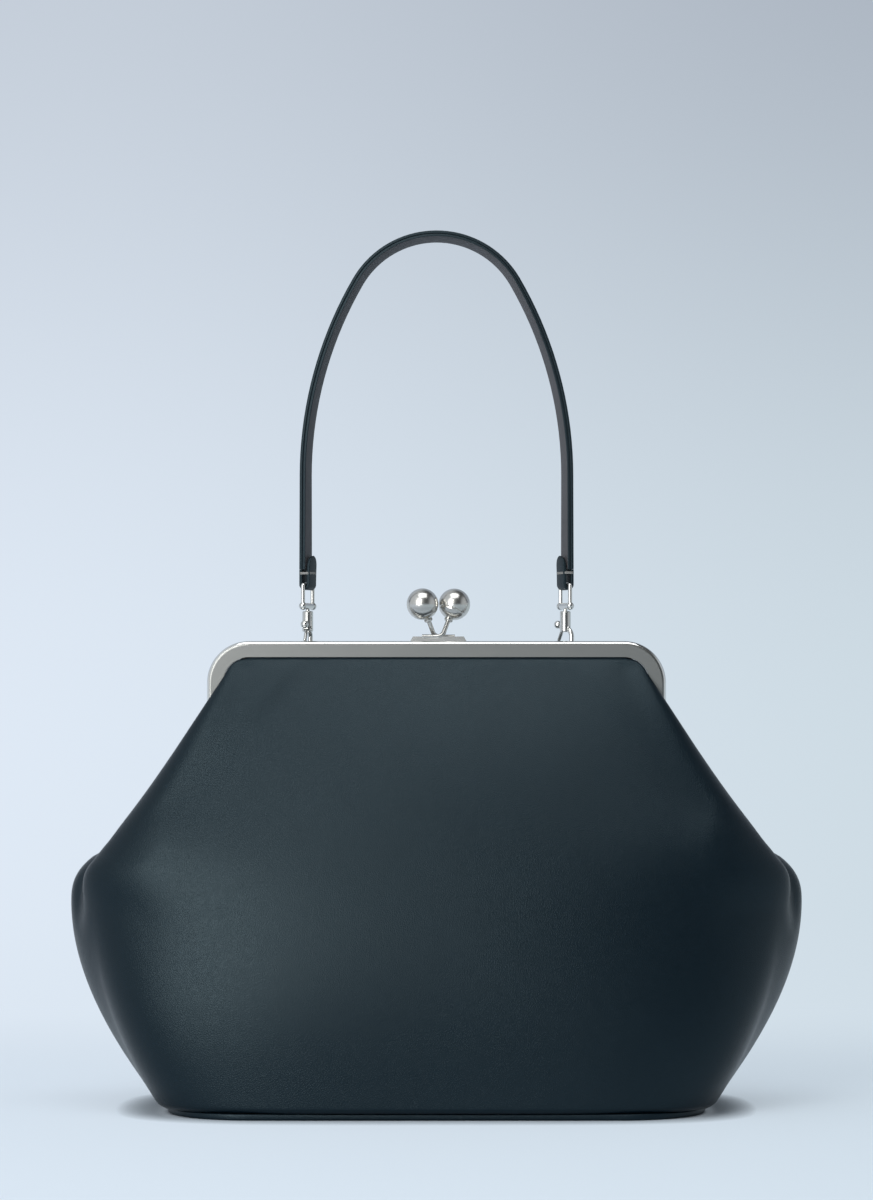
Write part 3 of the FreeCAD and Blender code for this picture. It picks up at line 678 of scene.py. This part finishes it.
# %% [markdown]
# ## The thread at the strap's ends
# The strap and its tongue are held by two close turns of grey thread just above the bar. A line climbs
# round the leather as a rounded square, and a small ring of points is carried along it.

# %% Thread that ties the strap ends
thread_radius = 0.3
thread_turns = 2
thread_pitch = 0.62
thread_foot = wire_z + 5.4
thread_half_depth = 3.15
thread_half_width = 0.5 * strap_width + 0.1
thread_square = 0.45
thread_steps = 40
thread_spokes = 8


def thread_line(side):
    turn, foot = end_place(side)
    line = []
    for i in range(thread_steps * thread_turns + 1):
        a = 2.0 * math.pi * i / thread_steps
        deep, wide = (math.copysign(abs(v) ** thread_square, v) for v in (math.cos(a), math.sin(a)))
        height = thread_foot + thread_pitch * i / thread_steps
        line.append(foot + turn @ Vector((thread_half_depth * deep, thread_half_width * wide, height)))
    return line


def thread_tie(name, side):
    """A few close turns of thread round the strap and its tongue."""
    line = thread_line(side)
    angles = [2.0 * math.pi * (k % thread_spokes) / thread_spokes for k in range(thread_spokes + 1)]
    rings = []
    for i, place in enumerate(line):
        ahead = (line[min(i + 1, len(line) - 1)] - line[max(i - 1, 0)]).normalized()
        outward = ahead.cross(Vector((0.0, 0.0, 1.0))).normalized()
        up = outward.cross(ahead)
        spokes = [outward * math.cos(b) + up * math.sin(b) for b in angles]
        rings.append([(place + spoke * thread_radius) * MM for spoke in spokes])
    return closed_loft(name, rings)


left_thread = thread_tie("left_strap_thread", -1.0)
right_thread = thread_tie("right_strap_thread", 1.0)
print("thread faces", len(left_thread.data.polygons))

# %% [markdown]
# ## The clasp's balls
# Each ball is a polished hollow bead with a fine groove low on its body, pushed on the end of its wire
# above a small turned collar. A half profile is drawn once and spun about the wire's own direction,
# which is how a lathe would make it.

# %% Profiles of ball and collar
ball_radius = 8.3
groove_angle = math.radians(122.0)
groove_half_angle = math.radians(2.6)
groove_depth = 0.35
ball_steps = 64
collar_profile = [(1.25, -0.9), (1.9, -0.9), (2.25, -0.5), (2.3, 0.0), (2.2, 0.45)]
collar_profile += [(1.9, 0.7), (2.15, 0.95), (2.3, 1.3), (2.1, 1.6), (1.25, 1.6)]
ball_profile = []
for i in range(ball_steps + 1):
    a = math.pi * i / ball_steps
    off = abs(a - groove_angle) / groove_half_angle
    r = ball_radius - groove_depth * max(0.0, 1.0 - off**2)
    ball_profile.append((r * math.sin(a), r * math.cos(a)))
ball_profile[0] = (0.0, ball_radius)
ball_profile[-1] = (0.0, -ball_radius)
print("points in the ball's profile", len(ball_profile))

# %% Balls and collars
clasp_x = 1.0
ball_half_gap = ball_radius + 0.05
ball_cross = 2.5
ball_height = frame_top + 19.3
arm_rise_x = 2.0
arm_y = 3.2
arm_z = frame_top + 2.3
collar_drop = ball_radius + 0.7


def spin_profile(name, profile, foot, direction, steps):
    """Spins a profile of radius and height pairs about an axis from foot along direction."""
    turn = direction.to_track_quat("Z", "Y").to_matrix()
    rings = []
    for i in range(steps + 1):
        a = 2.0 * math.pi * (i % steps) / steps
        spoke = Vector((math.cos(a), math.sin(a), 0.0))
        rings.append([foot + turn @ (spoke * r + Vector((0.0, 0.0, h))) * MM for r, h in profile])
    piece = ring_grid(name, rings)
    edit_mesh(
        piece,
        (bpy.ops.mesh.remove_doubles, {"threshold": 1e-7}),
        (bpy.ops.mesh.normals_make_consistent, {"inside": False}),
    )
    smooth_by_angle(piece, 35.0)
    return piece


balls = {}
collars = {}
for half, sign in (("front", 1.0), ("rear", -1.0)):
    centre = Vector((clasp_x + sign * ball_half_gap, sign * ball_cross, ball_height)) * MM
    rise = Vector((clasp_x + sign * arm_rise_x, -sign * arm_y, arm_z)) * MM
    stem = (centre - rise).normalized()
    balls[half] = spin_profile(half + "_ball", ball_profile, centre, stem, 72)
    collar_foot = centre - stem * collar_drop * MM
    collars[half] = spin_profile(half + "_collar", collar_profile, collar_foot, stem, 32)
print("ball faces", len(balls["front"].data.polygons))

# %% [markdown]
# ## Finishes
# Each finish is one Principled shader. Patterns that several finishes share, such as leather grain,
# are node groups that give out masks and heights, and the shader itself stays in the material.


# %% Node helpers
def empty_material(name):
    material = bpy.data.materials.new(name)
    material.use_nodes = True
    tree = material.node_tree
    shader = next(n for n in tree.nodes if n.type == "BSDF_PRINCIPLED")
    return material, tree, shader


def add_node(tree, kind, **settings):
    node = tree.nodes.new(kind)
    for key, value in settings.items():
        if key in node.inputs:
            node.inputs[key].default_value = value
        else:
            setattr(node, key, value)
    return node


def two_tone(tree, mask, dark, pale):
    ramp = tree.nodes.new("ShaderNodeValToRGB")
    ramp.color_ramp.elements[0].color = (*dark, 1.0)
    ramp.color_ramp.elements[1].color = (*pale, 1.0)
    tree.links.new(mask, ramp.inputs["Fac"])
    return ramp.outputs["Color"]


def spread(tree, mask, low, high):
    """Takes a mask of 0 to 1 to the span from low to high."""
    node = tree.nodes.new("ShaderNodeMapRange")
    node.inputs["To Min"].default_value = low
    node.inputs["To Max"].default_value = high
    tree.links.new(mask, node.inputs["Value"])
    return node.outputs["Result"]


def soft_step(tree, value, start, end):
    """A mask that goes softly from 0 at start to 1 at end."""
    node = add_node(tree, "ShaderNodeMapRange", interpolation_type="SMOOTHSTEP")
    node.inputs["From Min"].default_value = start
    node.inputs["From Max"].default_value = end
    tree.links.new(value, node.inputs["Value"])
    return node.outputs["Result"]


def calculate(tree, operation, *terms):
    """One sum of a Math node, from sockets and plain numbers."""
    node = add_node(tree, "ShaderNodeMath", operation=operation)
    for socket, term in zip(node.inputs, terms):
        if isinstance(term, float):
            socket.default_value = term
        else:
            tree.links.new(term, socket)
    return node.outputs["Value"]


def bump_from(tree, height, strength, distance):
    node = add_node(tree, "ShaderNodeBump", Strength=strength, Distance=distance)
    tree.links.new(height, node.inputs["Height"])
    return node.outputs["Normal"]


def object_place(tree):
    return add_node(tree, "ShaderNodeTexCoord").outputs["Object"]


def object_noise(tree, scale, detail, rough):
    node = add_node(tree, "ShaderNodeTexNoise", Scale=scale, Detail=detail, Roughness=rough)
    tree.links.new(object_place(tree), node.inputs["Vector"])
    return node


def mask_group(name, given, given_kind, results):
    """An empty node group with one named input and named masks to put out."""
    group = bpy.data.node_groups.new(name, "ShaderNodeTree")
    group.interface.new_socket(given, in_out="INPUT", socket_type=given_kind)
    for result in results:
        group.interface.new_socket(result, in_out="OUTPUT", socket_type="NodeSocketFloat")
    return group, group.nodes.new("NodeGroupInput").outputs[given], group.nodes.new("NodeGroupOutput").inputs


# %% [markdown]
# ## Leather grain
# Smooth calf leather is a field of tiny cells parted by fine valleys, with slow changes of tone and
# gloss over it. Cells come from a Voronoi pattern on the piece's own coordinates, so the grain has the
# same size everywhere and needs no unwrapping.


# %% Leather grain group
def leather_grain_group():
    group, cells_per_metre, results = mask_group(
        "leather_grain", "Cells per metre", "NodeSocketFloat", ("Height", "Tone", "Gloss")
    )
    cells = add_node(group, "ShaderNodeTexVoronoi", feature="DISTANCE_TO_EDGE")
    group.links.new(object_place(group), cells.inputs["Vector"])
    group.links.new(cells_per_metre, cells.inputs["Scale"])
    hill = add_node(group, "ShaderNodeMapRange")
    hill.inputs["From Max"].default_value = 0.22
    group.links.new(cells.outputs["Distance"], hill.inputs["Value"])
    fine = object_noise(group, 2600.0, 3.0, 0.6).outputs["Fac"]
    height = calculate(group, "MULTIPLY_ADD", fine, 0.6, hill.outputs["Result"])
    group.links.new(height, results["Height"])
    group.links.new(object_noise(group, 34.0, 6.0, 0.62).outputs["Fac"], results["Tone"])
    group.links.new(object_noise(group, 210.0, 4.0, 0.6).outputs["Fac"], results["Gloss"])
    return group


leather_grain = leather_grain_group()
print("group", leather_grain.name, "nodes", len(leather_grain.nodes))

# %% Leathers
grain_height = 0.00004
leather_shine = 0.28
leather_shine_tint = (0.68, 0.91, 1.0, 1.0)


def leather(name, dark, pale, cells, rough, bump):
    material, tree, shader = empty_material(name)
    grain = add_node(tree, "ShaderNodeGroup", node_tree=leather_grain)
    grain.inputs["Cells per metre"].default_value = cells
    tree.links.new(two_tone(tree, grain.outputs["Tone"], dark, pale), shader.inputs["Base Color"])
    tree.links.new(spread(tree, grain.outputs["Gloss"], *rough), shader.inputs["Roughness"])
    tree.links.new(bump_from(tree, grain.outputs["Height"], bump, grain_height), shader.inputs["Normal"])
    shader.inputs["Specular IOR Level"].default_value = leather_shine
    shader.inputs["Specular Tint"].default_value = leather_shine_tint
    return material


calf_dark, calf_pale = (0.0012, 0.0046, 0.0082), (0.0022, 0.0066, 0.0108)
strap_dark, strap_pale = (0.004, 0.008, 0.011), (0.009, 0.014, 0.018)
back_dark, back_pale = (0.045, 0.043, 0.046), (0.075, 0.07, 0.074)
body_leather = leather("calf_leather", calf_dark, calf_pale, 1050.0, (0.3, 0.4), 1.0)
strap_leather = leather("strap_calf", strap_dark, strap_pale, 1100.0, (0.42, 0.56), 0.3)
strap_back = leather("strap_inner_face", back_dark, back_pale, 1100.0, (0.5, 0.62), 0.3)
print("leathers", body_leather.name, strap_leather.name, strap_back.name)

# %% [markdown]
# ## Metal
# The frame is satin nickel, brushed so finely that it only blurs reflections, with a polished edge
# where its sheet is rolled. Its faces also take a much darker base colour than its rounded edges,
# painted shade that makes the edges read as a bright bead. The balls and their wires are burnished
# nickel, a little softer than the polished hooks. All carry slight changes of gloss from handling, from
# one group of streaks that can be stretched along the brushing.


# %% Streak group
def brushed_streak_group():
    group, stretch, results = mask_group("brushed_streak", "Stretch", "NodeSocketVector", ("Streak",))
    stretched = add_node(group, "ShaderNodeMapping")
    group.links.new(object_place(group), stretched.inputs["Vector"])
    group.links.new(stretch, stretched.inputs["Scale"])
    streak = add_node(group, "ShaderNodeTexNoise", Scale=60.0, Detail=5.0, Roughness=0.65)
    group.links.new(stretched.outputs["Vector"], streak.inputs["Vector"])
    group.links.new(streak.outputs["Fac"], results["Streak"])
    return group


brushed_streak = brushed_streak_group()


def streaks(tree, stretch):
    node = add_node(tree, "ShaderNodeGroup", node_tree=brushed_streak)
    node.inputs["Stretch"].default_value = stretch
    return node.outputs["Streak"]


print("group", brushed_streak.name, "nodes", len(brushed_streak.nodes))

# %% Metals
no_stretch = (1.0, 1.0, 1.0)
brushed_along_x = (1.0, 12.0, 12.0)
edge_turn, face_turn = 0.82, 0.97
satin_variation = 0.12


def metal(name, colour, rough):
    material, tree, shader = empty_material(name)
    streak = streaks(tree, no_stretch)
    tree.links.new(spread(tree, streak, *rough), shader.inputs["Roughness"])
    dark = tuple(0.9 * c for c in colour)
    tree.links.new(two_tone(tree, streak, dark, colour), shader.inputs["Base Color"])
    shader.inputs["Metallic"].default_value = 1.0
    return material


def satin_face(name, shaded_face_colour, edge_colour, face_rough, edge_rough):
    """Satin where the metal faces the front or the back, polished on its rounded edges. The faces take a
    much darker base colour, painted shade, so the edges read as a bright bead.
    """
    material, tree, shader = empty_material(name)
    axes = add_node(tree, "ShaderNodeSeparateXYZ")
    tree.links.new(add_node(tree, "ShaderNodeTexCoord").outputs["Normal"], axes.inputs["Vector"])
    flat = soft_step(tree, calculate(tree, "ABSOLUTE", axes.outputs["Y"]), edge_turn, face_turn)
    # Painted shade: the faces get the darker colour, the rounded edges the paler one.
    tree.links.new(two_tone(tree, flat, edge_colour, shaded_face_colour), shader.inputs["Base Color"])
    satin = calculate(tree, "MULTIPLY_ADD", streaks(tree, brushed_along_x), satin_variation, face_rough)
    rough = add_node(tree, "ShaderNodeMix", data_type="FLOAT")
    rough.inputs["A"].default_value = edge_rough
    tree.links.new(flat, rough.inputs["Factor"])
    tree.links.new(satin, rough.inputs["B"])
    tree.links.new(rough.outputs["Result"], shader.inputs["Roughness"])
    shader.inputs["Metallic"].default_value = 1.0
    return material


# The darker face colour is painted shade on the frame's front and back faces.
satin_nickel = satin_face("satin_nickel", (0.225, 0.23, 0.222), (0.72, 0.73, 0.72), 0.3, 0.12)
bead_nickel = metal("bead_nickel", (0.6, 0.59, 0.56), (0.2, 0.27))
bright_nickel = metal("polished_nickel", (0.62, 0.62, 0.6), (0.08, 0.14))
plain_steel = metal("mill_steel", (0.5, 0.5, 0.5), (0.3, 0.42))
print("metals", satin_nickel.name, bead_nickel.name, bright_nickel.name, plain_steel.name)

# %% [markdown]
# ## Lining cloth, board, paper and thread
# The inside is a dark woven cloth. Two fine waves at right angles on the piece's own coordinates give
# the weave. The base board is pressed card, the frame holds its leather with twisted paper cord, and
# the strap's ends are tied with grey thread. These three share a group of loose fibres.

# %% Lining weave
fabric_bump = 0.0002


def cloth(name, dark, pale, threads):
    material, tree, shader = empty_material(name)
    waves = []
    for direction in ("X", "Z"):
        wave = add_node(tree, "ShaderNodeTexWave", bands_direction=direction, Scale=threads, Distortion=0.4)
        tree.links.new(object_place(tree), wave.inputs["Vector"])
        waves.append(wave.outputs["Fac"])
    weave = calculate(tree, "MULTIPLY", *waves)
    tree.links.new(two_tone(tree, weave, dark, pale), shader.inputs["Base Color"])
    tree.links.new(bump_from(tree, weave, 0.4, fabric_bump), shader.inputs["Normal"])
    shader.inputs["Roughness"].default_value = 0.85
    return material


lining_cloth = cloth("lining_weave", (0.035, 0.032, 0.03), (0.12, 0.11, 0.10), 330.0)
print("lining", lining_cloth.name)


# %% Card, paper and thread
def loose_fibre_group():
    group, scale, results = mask_group("loose_fibre", "Fibres per metre", "NodeSocketFloat", ("Fibre",))
    fibre = object_noise(group, 1.0, 6.0, 0.7)
    group.links.new(scale, fibre.inputs["Scale"])
    group.links.new(fibre.outputs["Fac"], results["Fibre"])
    return group


loose_fibre = loose_fibre_group()


def speckled(name, dark, pale, fibres, rough):
    material, tree, shader = empty_material(name)
    node = add_node(tree, "ShaderNodeGroup", node_tree=loose_fibre)
    node.inputs["Fibres per metre"].default_value = fibres
    fibre = node.outputs["Fibre"]
    tree.links.new(two_tone(tree, fibre, dark, pale), shader.inputs["Base Color"])
    tree.links.new(bump_from(tree, fibre, 0.3, fabric_bump), shader.inputs["Normal"])
    shader.inputs["Roughness"].default_value = rough
    return material


card = speckled("pressed_card", (0.22, 0.17, 0.12), (0.4, 0.33, 0.25), 700.0, 0.9)
paper = speckled("twisted_paper", (0.45, 0.38, 0.28), (0.66, 0.58, 0.45), 900.0, 0.9)
thread = speckled("tie_thread", (0.15, 0.15, 0.145), (0.3, 0.295, 0.28), 2500.0, 0.8)
print("fibres", card.name, paper.name, thread.name)

# %% [markdown]
# ## Giving the finishes out
# The new pieces take their finish by name. The strap's inner layer has two: its face towards the hand
# is a paler leather, chosen by which way each polygon looks. The solids that stay in view take theirs
# by the material slot that the record gives them.

# %% Finishes of the new pieces
crown_centre_height = 0.4
inward_limit = -0.6


def finish_with(piece, *materials):
    piece.data.materials.clear()
    for material in materials:
        piece.data.materials.append(material)


for finish, pieces in (
    (body_leather, (front_leather, rear_leather, base_leather)),
    (strap_leather, (strap_outer, left_end, right_end)),
    (thread, (left_thread, right_thread)),
    (lining_cloth, (front_cloth, rear_cloth, base_cloth)),
    (bead_nickel, (*balls.values(), *collars.values())),
):
    for piece in pieces:
        finish_with(piece, finish)
finish_with(strap_inner, strap_leather, strap_back)
for polygon in strap_inner.data.polygons:
    place = polygon.center
    outward = Vector((place.x, 0.0, place.z - min(place.z, crown_centre_height))).normalized()
    polygon.material_index = 1 if polygon.normal.dot(outward) < inward_limit else 0
print("paler polygons of the strap", sum(p.material_index for p in strap_inner.data.polygons))

# %% Finishes of the solids
by_slot = {
    "frame_metal": satin_nickel,
    "bright_metal": bright_nickel,
    "plain_steel": plain_steel,
    "board": card,
    "paper_cord": paper,
}
finished = [part for part in frame["record"]["subparts"] if part["material_slot"] in by_slot]
for part in finished:
    finish_with(solids[part["node"]], by_slot[part["material_slot"]])
for half in ("front", "rear"):
    finish_with(solids[half + "_clasp_arm"], bead_nickel)
    finish_with(solids[half + "_clasp_plate"], bead_nickel)
print("solids with a finish", len(finished))

# %% [markdown]
# ## What moves with what
# The leather and its lining stay as they are drawn, in place of the solids they cover, which are hidden.
# The strap, its ends and the clasp's balls ride on their own bodies.

# %% Leather, lining and clasp
for half, skin, cloth_piece in (("front", front_leather, front_cloth), ("rear", rear_leather, rear_cloth)):
    for piece, slot in ((skin, "body_leather"), (cloth_piece, "lining_cloth")):
        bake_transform(piece)
    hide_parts(half + "_panel", half + "_flap")
    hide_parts(half + "_lining", half + "_flap_lining")
    for piece, node in ((balls[half], "_clasp_ball"), (collars[half], "_clasp_collar")):
        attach(piece, half + "_frame")
        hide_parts(half + node)
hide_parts("left_pleat", "right_pleat")

# %% Base and strap
riders = (
    (base_leather, "bag", "base_panel", "body_leather"),
    (base_cloth, "bag", "base_lining", "lining_cloth"),
    (strap_outer, "strap", "strap_outer", "strap_leather"),
    (strap_inner, "strap", "strap_inner", "strap_leather"),
    (left_end, "strap", "left_strap_end", "strap_leather"),
    (right_end, "strap", "right_strap_end", "strap_leather"),
)
for piece, body, node, slot in riders:
    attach(piece, body)
    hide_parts(node)
for piece in (left_thread, right_thread):
    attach(piece, "strap")
print("riders", [piece.name for piece, *_ in riders])

# %% [markdown]
# ## Floor and backdrop
# The purse stands on a sweep of pale blue paper that runs from the floor up into the backdrop, so no
# horizon shows. Near the purse the paper is lit, and camera and mirror rays see it mixed with a glow,
# and mirror rays see the floor just in front of the purse painted darker, a painted dark reflection.
# Further off, camera and mirror rays see only an even glow, which lights nothing, so the backdrop stays
# pale without more light on the purse. A painted contact shadow from an occlusion mask keeps the dark
# line where the base meets the floor. From behind, the paper is clear.

# %% Paper of the sweep
floor_blue, floor_dark_in_reflections = (0.66, 0.745, 0.83), (0.25, 0.28, 0.31)
wall_low_left, wall_low_right = (0.74, 0.82, 0.92), (0.61, 0.705, 0.77)
wall_high_left, wall_high_right = (0.55, 0.61, 0.69), (0.41, 0.46, 0.53)
contact_shade = (0.02, 0.025, 0.03)
contact_reach = 0.02
contact_power = 2.5
near_glow = 0.6


def mix_colours(tree, factor, first, second):
    node = add_node(tree, "ShaderNodeMix", data_type="RGBA")
    tree.links.new(factor, node.inputs["Factor"])
    for socket, colour in ((node.inputs[6], first), (node.inputs[7], second)):
        if isinstance(colour, tuple):
            socket.default_value = (*colour, 1.0)
        else:
            tree.links.new(colour, socket)
    return node.outputs[2]


def mix_shaders(tree, factor, first, second):
    node = add_node(tree, "ShaderNodeMixShader")
    for link, socket in zip((factor, first, second), node.inputs):
        tree.links.new(link, socket)
    return node.outputs["Shader"]


def backdrop_colour(tree, x, z):
    """Colour of the glow: paler low and left, darker high and right, with a painted contact shadow where the
    base touches.
    """
    across = soft_step(tree, x, -0.6, 0.7)
    low = mix_colours(tree, across, wall_low_left, wall_low_right)
    high = mix_colours(tree, across, wall_high_left, wall_high_right)
    wall = mix_colours(tree, soft_step(tree, z, 0.1, 1.25), low, high)
    # Painted contact shadow: an occlusion mask darkens the glow where the base meets the floor.
    close = add_node(tree, "ShaderNodeAmbientOcclusion", Distance=contact_reach, samples=8)
    contact = calculate(tree, "POWER", close.outputs["AO"], contact_power)
    return mix_colours(tree, contact, contact_shade, wall)


def sweep_material():
    material, tree, shader = empty_material("sweep_paper")
    shader.inputs["Roughness"].default_value = 1.0
    shader.inputs["Specular IOR Level"].default_value = 0.0
    place = object_place(tree)
    axes = add_node(tree, "ShaderNodeSeparateXYZ")
    tree.links.new(place, axes.inputs["Vector"])
    x, y, z = (axes.outputs[axis] for axis in "XYZ")
    ray = add_node(tree, "ShaderNodeLightPath").outputs
    # Painted dark reflection: mirror rays see the floor in front of the purse in a darker blue.
    away = calculate(tree, "MULTIPLY", ray["Is Glossy Ray"], soft_step(tree, y, -0.11, -0.26))
    tree.links.new(mix_colours(tree, away, floor_blue, floor_dark_in_reflections), shader.inputs["Base Color"])
    glow = add_node(tree, "ShaderNodeEmission")
    tree.links.new(backdrop_colour(tree, x, z), glow.inputs["Color"])
    radius = add_node(tree, "ShaderNodeVectorMath", operation="LENGTH")
    tree.links.new(place, radius.inputs[0])
    ring = soft_step(tree, radius.outputs["Value"], 0.6, 1.1)
    beyond = calculate(tree, "MAXIMUM", soft_step(tree, y, 0.1, 0.6), ring)
    direct = calculate(tree, "MAXIMUM", ray["Is Camera Ray"], ray["Is Glossy Ray"])
    seen = calculate(tree, "MULTIPLY", direct, spread(tree, beyond, near_glow, 1.0))
    front = mix_shaders(tree, seen, shader.outputs["BSDF"], glow.outputs["Emission"])
    behind = add_node(tree, "ShaderNodeNewGeometry").outputs["Backfacing"]
    clear = add_node(tree, "ShaderNodeBsdfTransparent").outputs["BSDF"]
    output = next(n for n in tree.nodes if n.type == "OUTPUT_MATERIAL")
    tree.links.new(mix_shaders(tree, behind, front, clear), output.inputs["Surface"])
    return material


# %% Sweep of paper
sweep_front = -12.0
sweep_back = 1.6
sweep_radius = 1.2
sweep_top = 4.0
sweep_half_width = 12.0
sweep_steps = 24
sweep_line = [(sweep_front, 0.0), (sweep_back, 0.0)]
for i in range(1, sweep_steps + 1):
    a = 0.5 * math.pi * i / sweep_steps
    sweep_line.append((sweep_back + sweep_radius * math.sin(a), sweep_radius * (1.0 - math.cos(a))))
sweep_line.append((sweep_back + sweep_radius, sweep_top))
sweep_rows = [[(-sweep_half_width, y, z), (sweep_half_width, y, z)] for y, z in sweep_line]
sweep = loft_grid("paper_sweep", np.array(sweep_rows))
select_only(sweep)
bpy.ops.object.shade_smooth()
finish_with(sweep, sweep_material())
print("sweep faces", len(sweep.data.polygons))

# %% [markdown]
# ## Light
# One large soft lamp from the left front draws the broad highlight on the leather, and a second from
# above lights the sloping shoulders and the frame's top edge. The room itself is pale at both sides
# and dim to the right of the middle, which the leather and the metal show as soft bands.


# %% Lamps
def soft_lamp(name, place, width, height, power, colour):
    bpy.ops.object.light_add(type="AREA", location=place)
    lamp = bpy.context.object
    lamp.name = name
    lamp.data.shape = "RECTANGLE"
    lamp.data.size = width
    lamp.data.size_y = height
    lamp.data.energy = power
    lamp.data.color = colour
    lamp.rotation_euler = (lamp_target - Vector(place)).to_track_quat("-Z", "Y").to_euler()


lamp_target = Vector((0.0, 0.0, 0.15))
soft_lamp("key_lamp", (-1.05, -2.15, 0.92), 1.2, 1.9, 44.0, (1.0, 0.99, 0.97))
soft_lamp("top_lamp", (0.05, -0.7, 2.0), 1.5, 1.1, 18.0, (0.97, 0.99, 1.0))

# %% Studio room
room_seen = (0.66, 0.74, 0.82)
room_levels = [(-0.7, 0.74), (-0.25, 0.6), (0.3, 0.1), (0.62, 0.09), (0.9, 0.6), (1.0, 0.62)]


def studio_world(levels):
    """A pale room, given as pairs of a sideways direction from -1, left, to 1, right, and a grey level."""
    world = bpy.data.worlds.new("studio")
    world.use_nodes = True
    tree = world.node_tree
    axes = add_node(tree, "ShaderNodeSeparateXYZ")
    tree.links.new(add_node(tree, "ShaderNodeTexCoord").outputs["Generated"], axes.inputs["Vector"])
    side = add_node(tree, "ShaderNodeMapRange")
    side.inputs["From Min"].default_value = -1.0
    tree.links.new(axes.outputs["X"], side.inputs["Value"])
    ramp = tree.nodes.new("ShaderNodeValToRGB")
    ramp.color_ramp.interpolation = "EASE"
    stops = ramp.color_ramp.elements
    while len(stops) < len(levels):
        stops.new(0.5)
    for stop, (x, level) in zip(stops, levels):
        stop.position = 0.5 + 0.5 * x
        stop.color = (0.95 * level, level, 1.05 * level, 1.0)
    tree.links.new(side.outputs["Result"], ramp.inputs["Fac"])
    camera_ray = add_node(tree, "ShaderNodeLightPath").outputs["Is Camera Ray"]
    seen = mix_colours(tree, camera_ray, ramp.outputs["Color"], room_seen)
    tree.links.new(seen, tree.nodes["Background"].inputs["Color"])
    return world


bpy.context.scene.world = studio_world(room_levels)
bpy.context.scene.view_settings.view_transform = "Standard"
print("world", bpy.context.scene.world.name)

# %% [markdown]
# ## Sizes

# %% A module for json
import json
